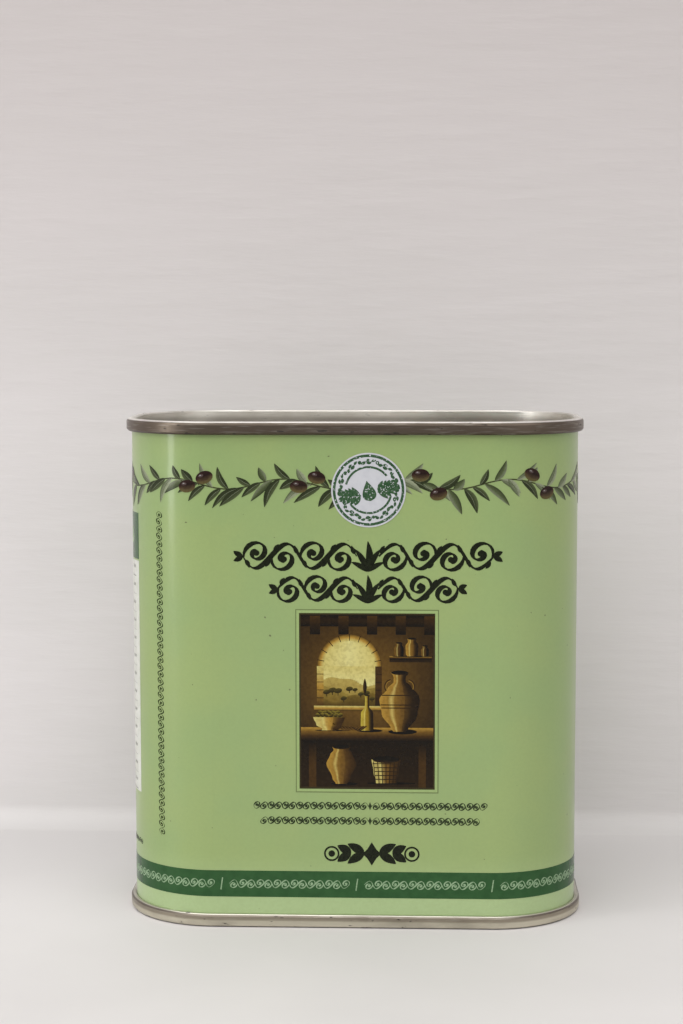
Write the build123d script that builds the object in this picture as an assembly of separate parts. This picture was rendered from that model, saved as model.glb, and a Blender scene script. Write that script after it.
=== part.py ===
from build123d import *

import os

# A small rectangular oil tin with rounded corners. A body of welded tinplate is closed by two
# double-seamed ends, and a plastic pouring spout slides up out of a well in the top end.
# Millimetres, +Z up. The origin is the middle of the bottom, on the plane that the tin stands on.
# Width runs along X, the printed front faces -Y, and the spout stands towards +X.

# The tin as it measures over its seams
tin_width = 106.0
tin_depth = 55.0
tin_height = 115.3
seam_corner = 21.5      # outside radius of the seam at the four corners
seam_height = 2.95
seam_overhang = 1.22    # how far the seam stands out beyond the body wall
sheet = 0.28            # tinplate
fold_radius = 0.8       # rounding along the outside of the seam's top
fold_flats = 3          # the rounding is drawn in this many flats
lower_edge = 0.45       # bevel of the seam's lower edge
inner_edge = 0.3        # bevel along the inside of the seam's top

# The ends
panel_drop = 5.5        # from the top of the seam down to the panel
channel_width = 1.8     # the groove beside the chuck wall
channel_drop = 0.7      # how far the groove lies below the panel
pad_rise = 0.6          # pressed pads that stiffen the panels
pad_corner = 9.0
pad_inset = 12.0        # from the body wall in to the pad's edge
pad_gap = 6.0           # between the top pad and the spout's flange

# The welded side seam on the right flank
lap_width = 1.0
lap_step = 0.12

# The opening in the top end
flange_margin = 7.78    # from the body wall at the right in to the spout's flange
hole_rim = 1.2          # the edge of the hole is turned down this far

# The well that holds the spout
gasket_height = 0.5
gasket_width = 1.3
flange_reach = 2.25     # beyond the edge of the hole
flange_height = 1.2
gasket_inset = 0.4      # from the flange's outer edge in to the gasket
well_wall = 1.4
well_depth = 12.2
floor_height = 1.5
guide_wall = 1.45
guide_drop = 5.0        # the guide sleeve below the well's floor
snap_bead = 0.75
snap_height = 0.85

# The spout
bore_radius = 8.2
spout_wall = 1.4
spout_travel = 23.5
foot_reach = 1.4        # the foot stands out beyond the tube
foot_height = 1.5
neck_wall = 2.4
neck_height = 8.8
shoulder_reach = 2.0    # the shoulder stands out beyond the neck
shoulder_height = 1.0
neck_bead = 0.7
neck_bead_height = 0.6
lip_height = 1.1        # the thinner pouring lip at the mouth
lip_wall = 1.2

# The tamper band, the liner and the screw cap
band_wall = 2.0
band_height = 1.2
liner_height = 0.8
plug_height = 2.0       # the liner's ring that dips into the mouth
plug_wall = 1.1
thread_room = 1.4       # between the neck and the cap's skirt
cap_wall = 1.5
crown_height = 1.2
crown_edge = 0.4
grip_groove = 0.45      # depth of the finger grooves
grip_count = 24

# The two pull rings that lie folded on the cap
bail_height = 1.3
bail_width = 2.6
bail_axis = 0.9         # each hinge line lies this far from the cap's middle
pin_radius = 0.4
pin_length = 1.8
ear_width = 4.0
ear_height = 1.45
ear_depth = 1.6
tab_reach = 1.6
tab_share = 0.3         # half the thumb tab's width as a share of the pull ring's radius

# Clearances and overruns
seam_gap = 0.13         # between the body's edge and the seam rolled round it
slide_gap = 0.15        # between the spout and its guide, all round
rim_gap = 0.15          # between the well and the turned edge of the hole
cap_room = 0.7          # between the cap and the well
snap_gap = 0.1
seat_gap = 0.1
turn_gap = 0.05         # the pins in their ears, and the liner under the crown
band_gap = 0.3
overrun = 1.0           # how far cutting shapes run past what they cut

body_width = tin_width - 2 * seam_overhang
body_depth = tin_depth - 2 * seam_overhang
body_corner = seam_corner - seam_overhang

# Distances out from the body wall, inner and outer face of the sheet
chuck_wall = (-2 * sheet - seam_gap, -sheet - seam_gap)
riser = (chuck_wall[0] - channel_width - sheet, chuck_wall[0] - channel_width)
panel_margin = riser[0] - channel_width     # where the seam's sweep meets the flat panel

# Radii of the closure, from the spout's bore outwards
spout_outside = bore_radius + spout_wall
foot_radius = spout_outside + foot_reach
guide_radius = spout_outside + slide_gap
neck_radius = bore_radius + neck_wall
shoulder_radius = neck_radius + shoulder_reach
cap_inside = neck_radius + thread_room
cap_radius = cap_inside + cap_wall
bail_outside = cap_radius - band_gap
bail_inside = bail_outside - bail_width
well_radius = cap_radius + cap_room
well_outside = well_radius + well_wall
hole_radius = well_outside + rim_gap
flange_radius = hole_radius + flange_reach
spout_place = body_width / 2 - flange_margin - flange_radius
spout_middle = Pos(spout_place, 0, 0)

# Levels of the closure, from the bottom of the tin
panel_top = tin_height - panel_drop
flange_bottom = panel_top + gasket_height
flange_top = flange_bottom + flange_height
floor_top = flange_top - well_depth
floor_bottom = floor_top - floor_height
guide_bottom = floor_bottom - guide_drop
shoulder_bottom = floor_top + seat_gap
shoulder_top = shoulder_bottom + shoulder_height
mouth_top = shoulder_top + neck_height
foot_top = guide_bottom - spout_travel
foot_bottom = foot_top - foot_height
band_bottom = shoulder_top + seat_gap
band_top = band_bottom + band_height
liner_bottom = mouth_top + seat_gap
liner_top = liner_bottom + liner_height
crown_bottom = liner_top + turn_gap
crown_top = crown_bottom + crown_height
cap_bottom = band_top + band_gap
bail_bottom = crown_top + turn_gap
hinge_level = bail_bottom + bail_height / 2


def rounded_slab(width, depth, corner, bottom, top):
    """An upright block with rounded corners, between two levels."""
    return Pos(0, 0, bottom) * extrude(RectangleRounded(width, depth, corner), amount=top - bottom)


def round_body(section):
    """Carry a section round the body. Across is measured out from the body wall, up from zero."""
    path = RectangleRounded(body_width, body_depth, body_corner).wire()
    along = path % 0
    outward = (path @ 0).normalized()
    start = Plane(origin=path @ 0, x_dir=Vector(0, 0, 1).cross(-along), z_dir=-along)
    if start.x_dir.dot(outward) < 0:
        start = Plane(origin=path @ 0, x_dir=Vector(0, 0, 1).cross(along), z_dir=along)
    return sweep(start * section, path=path)


def end_section():
    """The seam bead, chuck wall, groove and panel edge of an end, with the seam's top at zero.

    The five sheets of the double seam are rolled tight, so outside the body wall they are one bead.
    """
    groove = -panel_drop - channel_drop
    fold_middle = Vector(seam_overhang - fold_radius, -fold_radius)
    fold = [
        fold_middle + Vector(fold_radius, 0).rotate(Axis.Z, 90 * (1 - step / fold_flats))
        for step in range(fold_flats + 1)
    ]
    outline = Polyline(
        *fold,
        (seam_overhang, lower_edge - seam_height),
        (seam_overhang - lower_edge, -seam_height),
        (seam_gap, -seam_height),
        (seam_gap, -sheet),
        (chuck_wall[1], -sheet),
        (chuck_wall[1], groove - sheet),
        (riser[0], groove - sheet),
        (riser[0], -panel_drop - sheet),
        (panel_margin, -panel_drop - sheet),
        (panel_margin, -panel_drop),
        (riser[1], -panel_drop),
        (riser[1], groove),
        (chuck_wall[0], groove),
        (chuck_wall[0], -inner_edge),
        (chuck_wall[0] + inner_edge, 0),
        close=True,
    )
    return make_face(outline)


def pressed_pad(panel, left, right):
    """Press a raised pad of even metal thickness into a panel, between two places along X."""
    depth = body_depth - 2 * pad_inset
    middle = Pos((left + right) / 2, 0, 0)
    raised = rounded_slab(right - left, depth, pad_corner, -panel_drop - sheet, -panel_drop + pad_rise)
    hollow = rounded_slab(
        right - left - 2 * sheet,
        depth - 2 * sheet,
        pad_corner - sheet,
        -panel_drop - sheet - overrun,
        -panel_drop + pad_rise - sheet,
    )
    return panel + middle * raised - middle * hollow


def seamed_end(pad_right):
    """A whole end before its opening is cut, with the top of its seam at zero."""
    flat = rounded_slab(
        body_width + 2 * panel_margin,
        body_depth + 2 * panel_margin,
        body_corner + panel_margin,
        -panel_drop - sheet,
        -panel_drop,
    )
    pad_left = pad_inset - body_width / 2
    return pressed_pad(round_body(end_section()) + flat, pad_left, pad_right)


def make_body_shell():
    """The welded body, with its edges up inside both seams and a lap on the right flank."""
    edge = sheet + seam_gap
    wall = round_body(Pos(-sheet / 2, tin_height / 2) * Rectangle(sheet, tin_height - 2 * edge))
    lap_height = tin_height - 2 * (seam_height + seam_gap)
    lap = Box(sheet + lap_step, lap_width, lap_height)
    lap_middle = body_width / 2 + (lap_step - sheet) / 2
    return wall + Pos(lap_middle, 0, tin_height / 2) * lap


def make_top_end():
    """The top end, with a hole for the spout whose edge is turned down."""
    pad_right = spout_place - flange_radius - pad_gap
    panel = Pos(0, 0, tin_height) * seamed_end(pad_right)
    turned_rim = ring(hole_radius, hole_radius + sheet, panel_top - hole_rim, panel_top)
    opening = spout_middle * disc(hole_radius, panel_top - hole_rim - overrun, panel_top + overrun)
    return panel + turned_rim - opening


def make_bottom_end():
    """The bottom end, the same seam turned over."""
    return mirror(seamed_end(body_width / 2 - pad_inset), about=Plane.XY)


def disc(radius, bottom, top):
    """An upright cylinder about the origin, between two levels."""
    return Pos(0, 0, bottom) * extrude(Circle(radius), amount=top - bottom)


def turned(*points):
    """Turn an outline of radius and level points about the spout's axis."""
    profile = Plane.XZ * make_face(Polyline(*points, close=True))
    return spout_middle * revolve(profile, Axis.Z)


def ring(inside, outside, bottom, top):
    """A plain ring about the spout's axis."""
    return turned((inside, bottom), (outside, bottom), (outside, top), (inside, top))


def make_spout_collar():
    """The well: flange on the panel, snap bead under it, floor and guide sleeve."""
    snap_top = panel_top - hole_rim - snap_gap
    guide_outside = guide_radius + guide_wall
    return turned(
        (well_radius, flange_top),
        (flange_radius, flange_top),
        (flange_radius, flange_bottom),
        (well_outside, flange_bottom),
        (well_outside, snap_top),
        (well_outside + snap_bead, snap_top),
        (well_outside, snap_top - snap_height),
        (well_outside, floor_bottom),
        (guide_outside, floor_bottom),
        (guide_outside, guide_bottom),
        (guide_radius, guide_bottom),
        (guide_radius, floor_top),
        (well_radius, floor_top),
    )


def make_pour_spout():
    """The sliding spout: foot, tube, shoulder, neck and pouring lip."""
    bead_bottom = band_top + seat_gap
    bead_outside = neck_radius + neck_bead
    lip_outside = bore_radius + lip_wall
    return turned(
        (bore_radius, foot_bottom),
        (foot_radius, foot_bottom),
        (foot_radius, foot_top),
        (spout_outside, foot_top),
        (spout_outside, shoulder_bottom),
        (shoulder_radius, shoulder_bottom),
        (shoulder_radius, shoulder_top),
        (neck_radius, shoulder_top),
        (neck_radius, bead_bottom),
        (bead_outside, bead_bottom),
        (neck_radius, bead_bottom + neck_bead_height),
        (neck_radius, mouth_top - lip_height),
        (lip_outside, mouth_top),
        (bore_radius, mouth_top),
    )


def make_tamper_band():
    """The ring that the cap leaves behind on the neck."""
    inside = neck_radius + band_gap
    return ring(inside, inside + band_wall, band_bottom, band_top)


def make_cap_liner():
    """The sealing disc under the crown, with a ring that plugs the mouth."""
    outside = cap_inside - band_gap
    plug_outside = bore_radius - slide_gap
    return turned(
        (0, liner_bottom),
        (plug_outside - plug_wall, liner_bottom),
        (plug_outside - plug_wall, liner_bottom - plug_height),
        (plug_outside, liner_bottom - plug_height),
        (plug_outside, liner_bottom),
        (outside, liner_bottom),
        (outside, liner_top),
        (0, liner_top),
    )


def make_screw_cap():
    """The cap, with finger grooves down its skirt and two ears for the pull rings."""
    shell = turned(
        (0, crown_bottom),
        (cap_inside, crown_bottom),
        (cap_inside, cap_bottom),
        (cap_radius, cap_bottom),
        (cap_radius, crown_top - crown_edge),
        (cap_radius - crown_edge, crown_top),
        (0, crown_top),
    )
    wedge = Polyline(
        (cap_radius - grip_groove, 0),
        (cap_radius + grip_groove, 2 * grip_groove),
        (cap_radius + grip_groove, -2 * grip_groove),
        close=True,
    )
    groove = Pos(0, 0, cap_bottom - overrun) * extrude(
        make_face(wedge), amount=crown_bottom - cap_bottom + overrun
    )
    turns = [Rotation(0, 0, 360 * step / grip_count) for step in range(grip_count)]
    grooves = [spout_middle * turn * groove for turn in turns]
    return shell - grooves + [make_ear(side) for side in (1, -1)]


def make_ear(side):
    """One hinge ear on the crown, bored for the pins of both pull rings."""
    reach = ((bail_inside - seat_gap) ** 2 - (ear_width / 2) ** 2) ** 0.5
    middle = side * (reach - ear_depth / 2)
    ear = Pos(0, middle, crown_top + ear_height / 2) * Box(ear_width, ear_depth, ear_height)
    bore = Rotation(90, 0, 0) * Cylinder(pin_radius + turn_gap, ear_depth + overrun)
    for way in (1, -1):
        ear -= Pos(way * bail_axis, middle, hinge_level) * bore
    return spout_middle * ear


def make_bail(way):
    """A half-ring that folds flat on the cap, with its thumb tab, knuckles and pins."""
    half = Pos(way * (bail_axis + bail_outside), 0, 0) * Rectangle(2 * bail_outside, 2 * bail_outside)
    band = Circle(bail_outside) - Circle(bail_inside)
    tab = Circle(bail_inside) - Circle(bail_inside - tab_reach)
    wedge = make_face(
        Polyline(
            (0, 0),
            (bail_outside, -bail_outside * tab_share),
            (bail_outside, bail_outside * tab_share),
            close=True,
        )
    )
    tab = tab & (wedge if way > 0 else mirror(wedge, about=Plane.YZ))
    flat = (band & half) + tab
    bail = spout_middle * Pos(0, 0, bail_bottom) * extrude(flat, amount=bail_height)
    knuckle_end = ((bail_outside - seat_gap) ** 2 - (bail_axis + bail_height / 2) ** 2) ** 0.5
    knuckle_start = bail_inside
    for side in (1, -1):
        knuckle = Rotation(90, 0, 0) * Cylinder(bail_height / 2, knuckle_end - knuckle_start)
        pin = Rotation(90, 0, 0) * Cylinder(pin_radius, pin_length)
        line = Pos(spout_place + way * bail_axis, 0, hinge_level)
        bail += line * Pos(0, side * (knuckle_start + knuckle_end) / 2, 0) * knuckle
        bail += line * Pos(0, side * (knuckle_start - pin_length / 2), 0) * pin
    return bail


pieces = {
    "body_shell": make_body_shell(),
    "top_end": make_top_end(),
    "bottom_end": make_bottom_end(),
    "spout_collar": make_spout_collar(),
    "collar_gasket": ring(
        flange_radius - gasket_inset - gasket_width,
        flange_radius - gasket_inset,
        panel_top,
        flange_bottom,
    ),
    "pour_spout": make_pour_spout(),
    "tamper_band": make_tamper_band(),
    "cap_liner": make_cap_liner(),
    "screw_cap": make_screw_cap(),
    "bail_right": make_bail(1),
    "bail_left": make_bail(-1),
}

os.makedirs("parts", exist_ok=True)
for name, shape in pieces.items():
    export_step(shape, f"parts/{name}.step")
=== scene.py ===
import logging
import math
import random
from dataclasses import dataclass, field
from enum import Enum
from typing import Any, Iterable, Optional, Sequence, Union

import bpy
from bpy.types import Material, NodeSocket, Object
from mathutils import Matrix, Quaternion, Vector


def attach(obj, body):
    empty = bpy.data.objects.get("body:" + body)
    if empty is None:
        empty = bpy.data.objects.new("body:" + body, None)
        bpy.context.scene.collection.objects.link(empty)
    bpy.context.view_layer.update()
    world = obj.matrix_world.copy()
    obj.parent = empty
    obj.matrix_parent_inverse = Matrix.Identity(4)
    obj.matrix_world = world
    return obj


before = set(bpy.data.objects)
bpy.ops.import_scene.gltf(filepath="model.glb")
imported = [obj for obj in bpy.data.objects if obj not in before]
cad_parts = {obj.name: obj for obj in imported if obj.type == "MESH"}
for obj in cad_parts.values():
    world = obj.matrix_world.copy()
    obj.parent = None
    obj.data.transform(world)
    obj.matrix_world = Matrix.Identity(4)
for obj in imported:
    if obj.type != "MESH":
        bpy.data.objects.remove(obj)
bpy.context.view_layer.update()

log = logging.getLogger("oil_tin")

MM = 0.001
Point = tuple[float, float]
Span = tuple[float, float]
Triple = tuple[float, float, float]
Colour = tuple[float, float, float, float]
Tones = tuple[Colour, Colour, Colour]
Painting = list[Tones]
Ramp = tuple[tuple[float, Colour], ...]
Number = Union[int, float, "Value"]

TIN_WIDTH = 106 * MM
TIN_DEPTH = 55 * MM
TIN_HEIGHT = 115.3 * MM
SEAM_CORNER = 21.5 * MM
SEAM_HEIGHT = 2.95 * MM
SEAM_OVERHANG = 1.22 * MM
CLOSURE_PLACE = 26 * MM

INK_LAYER = "ink"
WHITE: Colour = (1.0, 1.0, 1.0, 1.0)


class Body(str, Enum):
    """The bodies that pieces ride on."""

    TIN = "tin"
    SPOUT = "spout"
    CAP = "cap"


class Slot(str, Enum):
    """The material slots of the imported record."""

    LACQUER = "body_lacquer"
    TINPLATE = "bare_tinplate"
    SPOUT = "spout_plastic"
    CAP = "cap_plastic"


class Space(str, Enum):
    """What a node tree's coordinates are: places in the part, or directions in the room."""

    PART = "Object"
    ROOM = "Generated"


class Mode(str, Enum):
    """How one colour is laid on another."""

    OVER = "MIX"
    TIMES = "MULTIPLY"
    PLUS = "ADD"


def tint(red: int, green: int, blue: int) -> Colour:
    """A colour written as the eye sees it, turned into the shader's linear values.

    Args:
        red: Red from 0 to 255.
        green: Green from 0 to 255.
        blue: Blue from 0 to 255.

    Returns:
        The linear colour with full alpha.
    """
    linear = [
        c / 255 / 12.92 if c <= 10 else ((c / 255 + 0.055) / 1.055) ** 2.4 for c in (red, green, blue)
    ]
    return (linear[0], linear[1], linear[2], 1.0)


class Value:
    """A number that varies over a surface. Sums with it add Math nodes."""

    def __init__(self, nodes: "Nodes", socket: NodeSocket) -> None:
        """Wrap the output of a tree that gives the number."""
        self.nodes = nodes
        self.socket = socket

    def _math(self, operation: str, *terms: Number) -> "Value":
        """Add one Math node.

        Args:
            operation: The node's operation.
            *terms: What goes into its sockets, in order.

        Returns:
            The node's result.
        """
        node = self.nodes.add("ShaderNodeMath", {"operation": operation}, dict(enumerate(terms)))
        return Value(self.nodes, node.outputs[0])

    def __add__(self, other: Number) -> "Value":
        """Sum."""
        return self._math("ADD", self, other)

    __radd__ = __add__

    def __mul__(self, other: Number) -> "Value":
        """Product."""
        return self._math("MULTIPLY", self, other)

    __rmul__ = __mul__

    def __sub__(self, other: Number) -> "Value":
        """Difference."""
        return self._math("SUBTRACT", self, other)

    def __rsub__(self, other: Number) -> "Value":
        """Difference from a plain number."""
        return self._math("SUBTRACT", other, self)

    def size(self) -> "Value":
        """Its size without its sign."""
        return self._math("ABSOLUTE", self)

    def at_least(self, floor: float) -> "Value":
        """Itself, but never below a floor."""
        return self._math("MAXIMUM", self, floor)

    def root(self) -> "Value":
        """Its square root."""
        return self._math("SQRT", self)

    def above(self, low: float, high: float) -> "Value":
        """Rise smoothly from 0 at low to 1 at high.

        Args:
            low: Where the rise starts.
            high: Where it ends.

        Returns:
            The mask.
        """
        node = self.nodes.add(
            "ShaderNodeMapRange",
            {"interpolation_type": "SMOOTHSTEP"},
            {"Value": self, "From Min": low, "From Max": high},
        )
        return Value(self.nodes, node.outputs[0])


class Nodes:
    """A node tree, of a material or of the room, and the one way to add to it."""

    def __init__(self, tree: bpy.types.NodeTree, space: Space) -> None:
        """Empty the tree and start it with its coordinates.

        Args:
            tree: The tree.
            space: What its coordinates are.
        """
        self.tree = tree
        self.tree.nodes.clear()
        self.place = self.add("ShaderNodeTexCoord").outputs[space.value]

    def add(
        self,
        kind: str,
        settings: Optional[dict[str, Any]] = None,
        inputs: Optional[dict[Union[str, int], Any]] = None,
    ) -> bpy.types.Node:
        """Add any node.

        Args:
            kind: The node's type.
            settings: Its properties, set first. "stops" holds a ramp's places and colours.
            inputs: Values or links of its sockets, by name or place.

        Returns:
            The new node.
        """
        node = self.tree.nodes.new(kind)
        for key, value in (settings or {}).items():
            if key == "stops":
                self._set_stops(node, value)
            else:
                setattr(node, key, value)
        for key, value in (inputs or {}).items():
            self.feed(node.inputs[key], value)
        return node

    def feed(self, socket: NodeSocket, value: Any) -> None:
        """Link an output to a socket, or set a plain value there.

        Args:
            socket: The input.
            value: A varying value, an output, or a plain number or colour.
        """
        source = value.socket if isinstance(value, Value) else value
        if isinstance(source, NodeSocket):
            self.tree.links.new(source, socket)
        else:
            socket.default_value = source

    def _set_stops(self, node: bpy.types.Node, stops: Ramp) -> None:
        """Give a ramp its stops.

        Args:
            node: The ramp's node.
            stops: Places and colours, in order.
        """
        elements = node.color_ramp.elements
        while len(elements) < len(stops):
            elements.new(0.5)
        for element, (position, colour) in zip(elements, stops):
            element.position = position
            element.color = colour

    def axis(self, name: str) -> Value:
        """One coordinate, X, Y or Z: metres in a material, a direction's share in the room."""
        node = self.add("ShaderNodeSeparateXYZ", {}, {"Vector": self.place})
        return Value(self, node.outputs[name])

    def seen_rays(self) -> Value:
        """Tell what is looked at from what only gives light.

        Returns:
            1 for what is seen straight, in a shiny surface or through a clear one, else 0.
        """
        path = self.add("ShaderNodeLightPath")
        rays = [
            Value(self, path.outputs[f"Is {kind} Ray"]) for kind in ("Camera", "Glossy", "Transmission")
        ]
        return rays[0] + rays[1] + rays[2]

    def mix_surfaces(
        self, mask: Value, under: NodeSocket, over: NodeSocket
    ) -> NodeSocket:
        """Show one surface where a mask is 0 and another where it is 1."""
        return self.add("ShaderNodeMixShader", {}, {0: mask, 1: under, 2: over}).outputs[0]


class Shader(Nodes):
    """One material's node tree, with a Principled surface."""

    FACTOR, UNDER, OVER, RESULT = 0, 6, 7, 2

    def __init__(self, name: str) -> None:
        """Start a material with its surface and output.

        Args:
            name: The material's name.
        """
        self.material = bpy.data.materials.new(name)
        self.material.use_nodes = True
        super().__init__(self.material.node_tree, Space.PART)
        self.surface = self.add("ShaderNodeBsdfPrincipled")
        self.output = self.add("ShaderNodeOutputMaterial", {}, {"Surface": self.surface.outputs[0]})

    def noise(
        self, size: float, detail: float = 2.0, stretch: Point = (1.0, 1.0), seed: float = 0.0
    ) -> Value:
        """Noise in the part's own space.

        Args:
            size: Rough size of its patches, in metres.
            detail: How many finer layers it has.
            stretch: How many times longer the patches are along X and Y, and along Z.
            seed: Shift of the pattern.

        Returns:
            The noise, from 0 to 1.
        """
        scale = (1 / stretch[0], 1 / stretch[0], 1 / stretch[1])
        shift = (seed, seed * 0.7, seed * 1.3)
        mapping = self.add(
            "ShaderNodeMapping", {}, {"Vector": self.place, "Scale": scale, "Location": shift}
        )
        node = self.add(
            "ShaderNodeTexNoise", {}, {"Vector": mapping.outputs[0], "Scale": 1 / size, "Detail": detail}
        )
        return Value(self, node.outputs["Fac"])

    def level(self) -> Value:
        """How high a point is, in metres."""
        return self.axis("Z")

    def beyond_wall(self, wall: "BodyWall") -> Value:
        """How far a point stands out from the body wall, in metres.

        Args:
            wall: The body's plan.

        Returns:
            The distance, less than 0 inside.
        """
        across = (self.axis("X").size() - wall.flat).at_least(0.0)
        deep = (self.axis("Y").size() - wall.flank).at_least(0.0)
        return (across * across + deep * deep).root() - wall.corner

    def blend(self, mask: Number, under: Any, over: Any, mode: Mode = Mode.OVER) -> NodeSocket:
        """Lay one colour over another where a mask is 1.

        Args:
            mask: From 0 to 1.
            under: Colour or socket where the mask is 0.
            over: Colour or socket where the mask is 1.
            mode: How the upper one is laid on.

        Returns:
            The mixed colour.
        """
        settings = {"data_type": "RGBA", "blend_type": mode.value}
        inputs = {self.FACTOR: mask, self.UNDER: under, self.OVER: over}
        return self.add("ShaderNodeMix", settings, inputs).outputs[self.RESULT]

    def ramp(self, value: Value, stops: Ramp) -> NodeSocket:
        """Colours along a value."""
        return self.add("ShaderNodeValToRGB", {"stops": stops}, {"Fac": value}).outputs[0]

    def bump(self, height: Value, depth: float) -> None:
        """Press a pattern from 0 to 1 into the surface, so many metres deep."""
        node = self.add("ShaderNodeBump", {}, {"Height": height, "Distance": depth, "Strength": 1.0})
        self.feed(self.surface.inputs["Normal"], node.outputs[0])

    def dress(self, **sockets: Any) -> Material:
        """Set the surface's sockets, with underscores for spaces.

        Args:
            **sockets: Values or links, such as Base_Color.

        Returns:
            The finished material.
        """
        for key, value in sockets.items():
            self.feed(self.surface.inputs[key.replace("_", " ")], value)
        return self.material

    def dress_print(self, colour: NodeSocket, mottle: Value) -> Material:
        """Give a printed ink its soft shine under a thin clear gloss.

        Args:
            colour: The ink's colour.
            mottle: The noise that also varies the shine.

        Returns:
            The finished material.
        """
        return self.dress(
            Base_Color=colour,
            Roughness=mottle * 0.1 + 0.16,
            Specular_IOR_Level=0.14,
            Coat_Weight=0.1,
            Coat_Roughness=0.12,
        )


@dataclass(frozen=True)
class GreenLacquer:
    """The pale green print coat on the body, under a clear gloss."""

    colour: Colour = tint(141, 164, 106)
    warm: Colour = tint(146, 166, 105)
    # Painted light: a paler lacquer near the base, standing in for light thrown up from the floor.
    foot: Colour = tint(164, 186, 134)
    shade: Colour = tint(126, 144, 94)
    speck: Colour = tint(74, 72, 52)
    cloud_size: float = 22 * MM
    grain_size: float = 0.7 * MM
    pit_size: float = 1.1 * MM
    pit_range: Span = (0.79, 0.81)
    floor_light_fade: Span = (4 * MM, 18 * MM)
    wave_size: float = 5 * MM
    wave_depth: float = 0.02 * MM

    def material(self) -> Material:
        """Build the material.

        Returns:
            The lacquer: clouded, paler at the foot as painted light from the floor, with a fine grain and a
                few dark pits.
        """
        shader = Shader("green_lacquer")
        cloud = shader.noise(self.cloud_size, 3.0)
        grain = shader.noise(self.grain_size, 2.0)
        pit = shader.noise(self.pit_size, 1.0, seed=3.1).above(*self.pit_range)
        colour = shader.blend(cloud.above(0.35, 0.65), self.colour, self.warm)
        # Painted light: paler towards the base, as if lit from the floor.
        colour = shader.blend(1 - shader.level().above(*self.floor_light_fade), colour, self.foot)
        colour = shader.blend(grain.above(0.3, 0.75) * 0.12, colour, self.shade)
        colour = shader.blend(pit * 0.7, colour, self.speck)
        shader.bump(shader.noise(self.wave_size, 1.0), self.wave_depth)
        return shader.dress(
            Base_Color=colour,
            Roughness=cloud * 0.1 + 0.28,
            Specular_IOR_Level=0.35,
            Coat_Weight=0.4,
            Coat_Roughness=0.12,
        )


@dataclass(frozen=True)
class AgedTinplate:
    """Bare tinplate, dulled and specked by handling, with painted light and shade up the rolled seam."""

    name: str
    colour: Colour = tint(236, 234, 228)
    dull: Colour = tint(186, 181, 171)
    # Dark tone for tarnish on the seam, and for the painted shade inside the rim.
    speck: Colour = tint(46, 40, 34)
    grime_and_shade: Colour = tint(92, 83, 74)
    speck_amount: float = 1.0
    seam_level: float = 0.0
    # Colours up the rolled seam, which paint its highlight and its shade into the metal.
    seam_tone_and_painted_light: Ramp = ()
    rim_recess_shade: float = 0.0
    tarnish_size: float = 7 * MM
    scratch_size: float = 0.35 * MM
    scratch_depth: float = 0.01 * MM
    fleck_size: float = 1.3 * MM
    wall_edge: Span = (0.05 * MM, 0.2 * MM)

    def material(self) -> Material:
        """Build the material.

        Returns:
            The tinplate: cloudy with tarnish, brushed along the sheet and flecked.
        """
        shader = Shader(self.name)
        tarnish = shader.noise(self.tarnish_size, 4.0, (1.6, 0.7))
        scratches = shader.noise(self.scratch_size, 2.0, (14.0, 0.8))
        outside = shader.beyond_wall(BodyWall()).above(*self.wall_edge)
        flecks = shader.noise(self.fleck_size, 4.0, (2.6, 0.7), seed=1.7).above(0.64, 0.7)
        specks = flecks * (outside * 0.75 + 0.25) * self.speck_amount
        colour = shader.blend(tarnish.above(0.34, 0.74) * (outside * 0.4 + 0.6), self.colour, self.dull)
        if self.seam_tone_and_painted_light:
            colour = self._seam(shader, tarnish, outside, colour)
        colour = shader.blend(scratches.above(0.52, 0.72) * (0.45 - outside * 0.2), colour, self.dull)
        colour = shader.blend(specks, colour, self.speck)
        shader.bump(scratches, self.scratch_depth)
        return shader.dress(
            Base_Color=colour,
            Metallic=1 - specks * 0.8,
            Roughness=tarnish * 0.14 + 0.29 + specks * 0.3,
        )

    def _seam(
        self, shader: Shader, tarnish: Value, outside: Value, colour: NodeSocket
    ) -> NodeSocket:
        """Lay painted shade inside the rim and the rolled seam's painted light and shade outside it.

        Args:
            shader: The material's tree.
            tarnish: The cloudy noise.
            outside: 1 beyond the body wall.
            colour: The colour so far.

        Returns:
            The colour with both laid on.
        """
        height = (shader.level() - self.seam_level) * (1 / SEAM_HEIGHT)
        # Painted shade: a dark band on the tinplate inside the rim's recess.
        recess_shade = (1 - height.above(0.2, 0.8)) * height.above(-0.95, -0.4) * self.rim_recess_shade
        colour = shader.blend(recess_shade, colour, self.grime_and_shade)
        # Painted light and shade up the outside of the rolled seam, with tarnish laid over it.
        rolled = shader.ramp(height, self.seam_tone_and_painted_light)
        rolled = shader.blend(tarnish.above(0.45, 0.75) * 0.35, rolled, self.grime_and_shade)
        return shader.blend(outside, colour, rolled)


@dataclass(frozen=True)
class Ink:
    """One printed ink under the clear gloss, a little uneven."""

    name: str
    colour: Colour
    uneven: Colour
    patch: float = 0.6 * MM
    worn: float = 0.0
    paper: Colour = tint(212, 212, 214)
    wear_size: float = 0.5 * MM

    def material(self) -> Material:
        """Build the material.

        Returns:
            The ink, worn through to its paper where it has wear.
        """
        shader = Shader(self.name)
        mottle = shader.noise(self.patch, 3.0)
        colour = shader.blend(mottle.above(0.35, 0.68), self.colour, self.uneven)
        if self.worn:
            bare = shader.noise(self.wear_size, 4.0, seed=2.3).above(0.62 - self.worn, 0.66 - self.worn)
            colour = shader.blend(bare, colour, self.paper)
        return shader.dress_print(colour, mottle)


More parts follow.
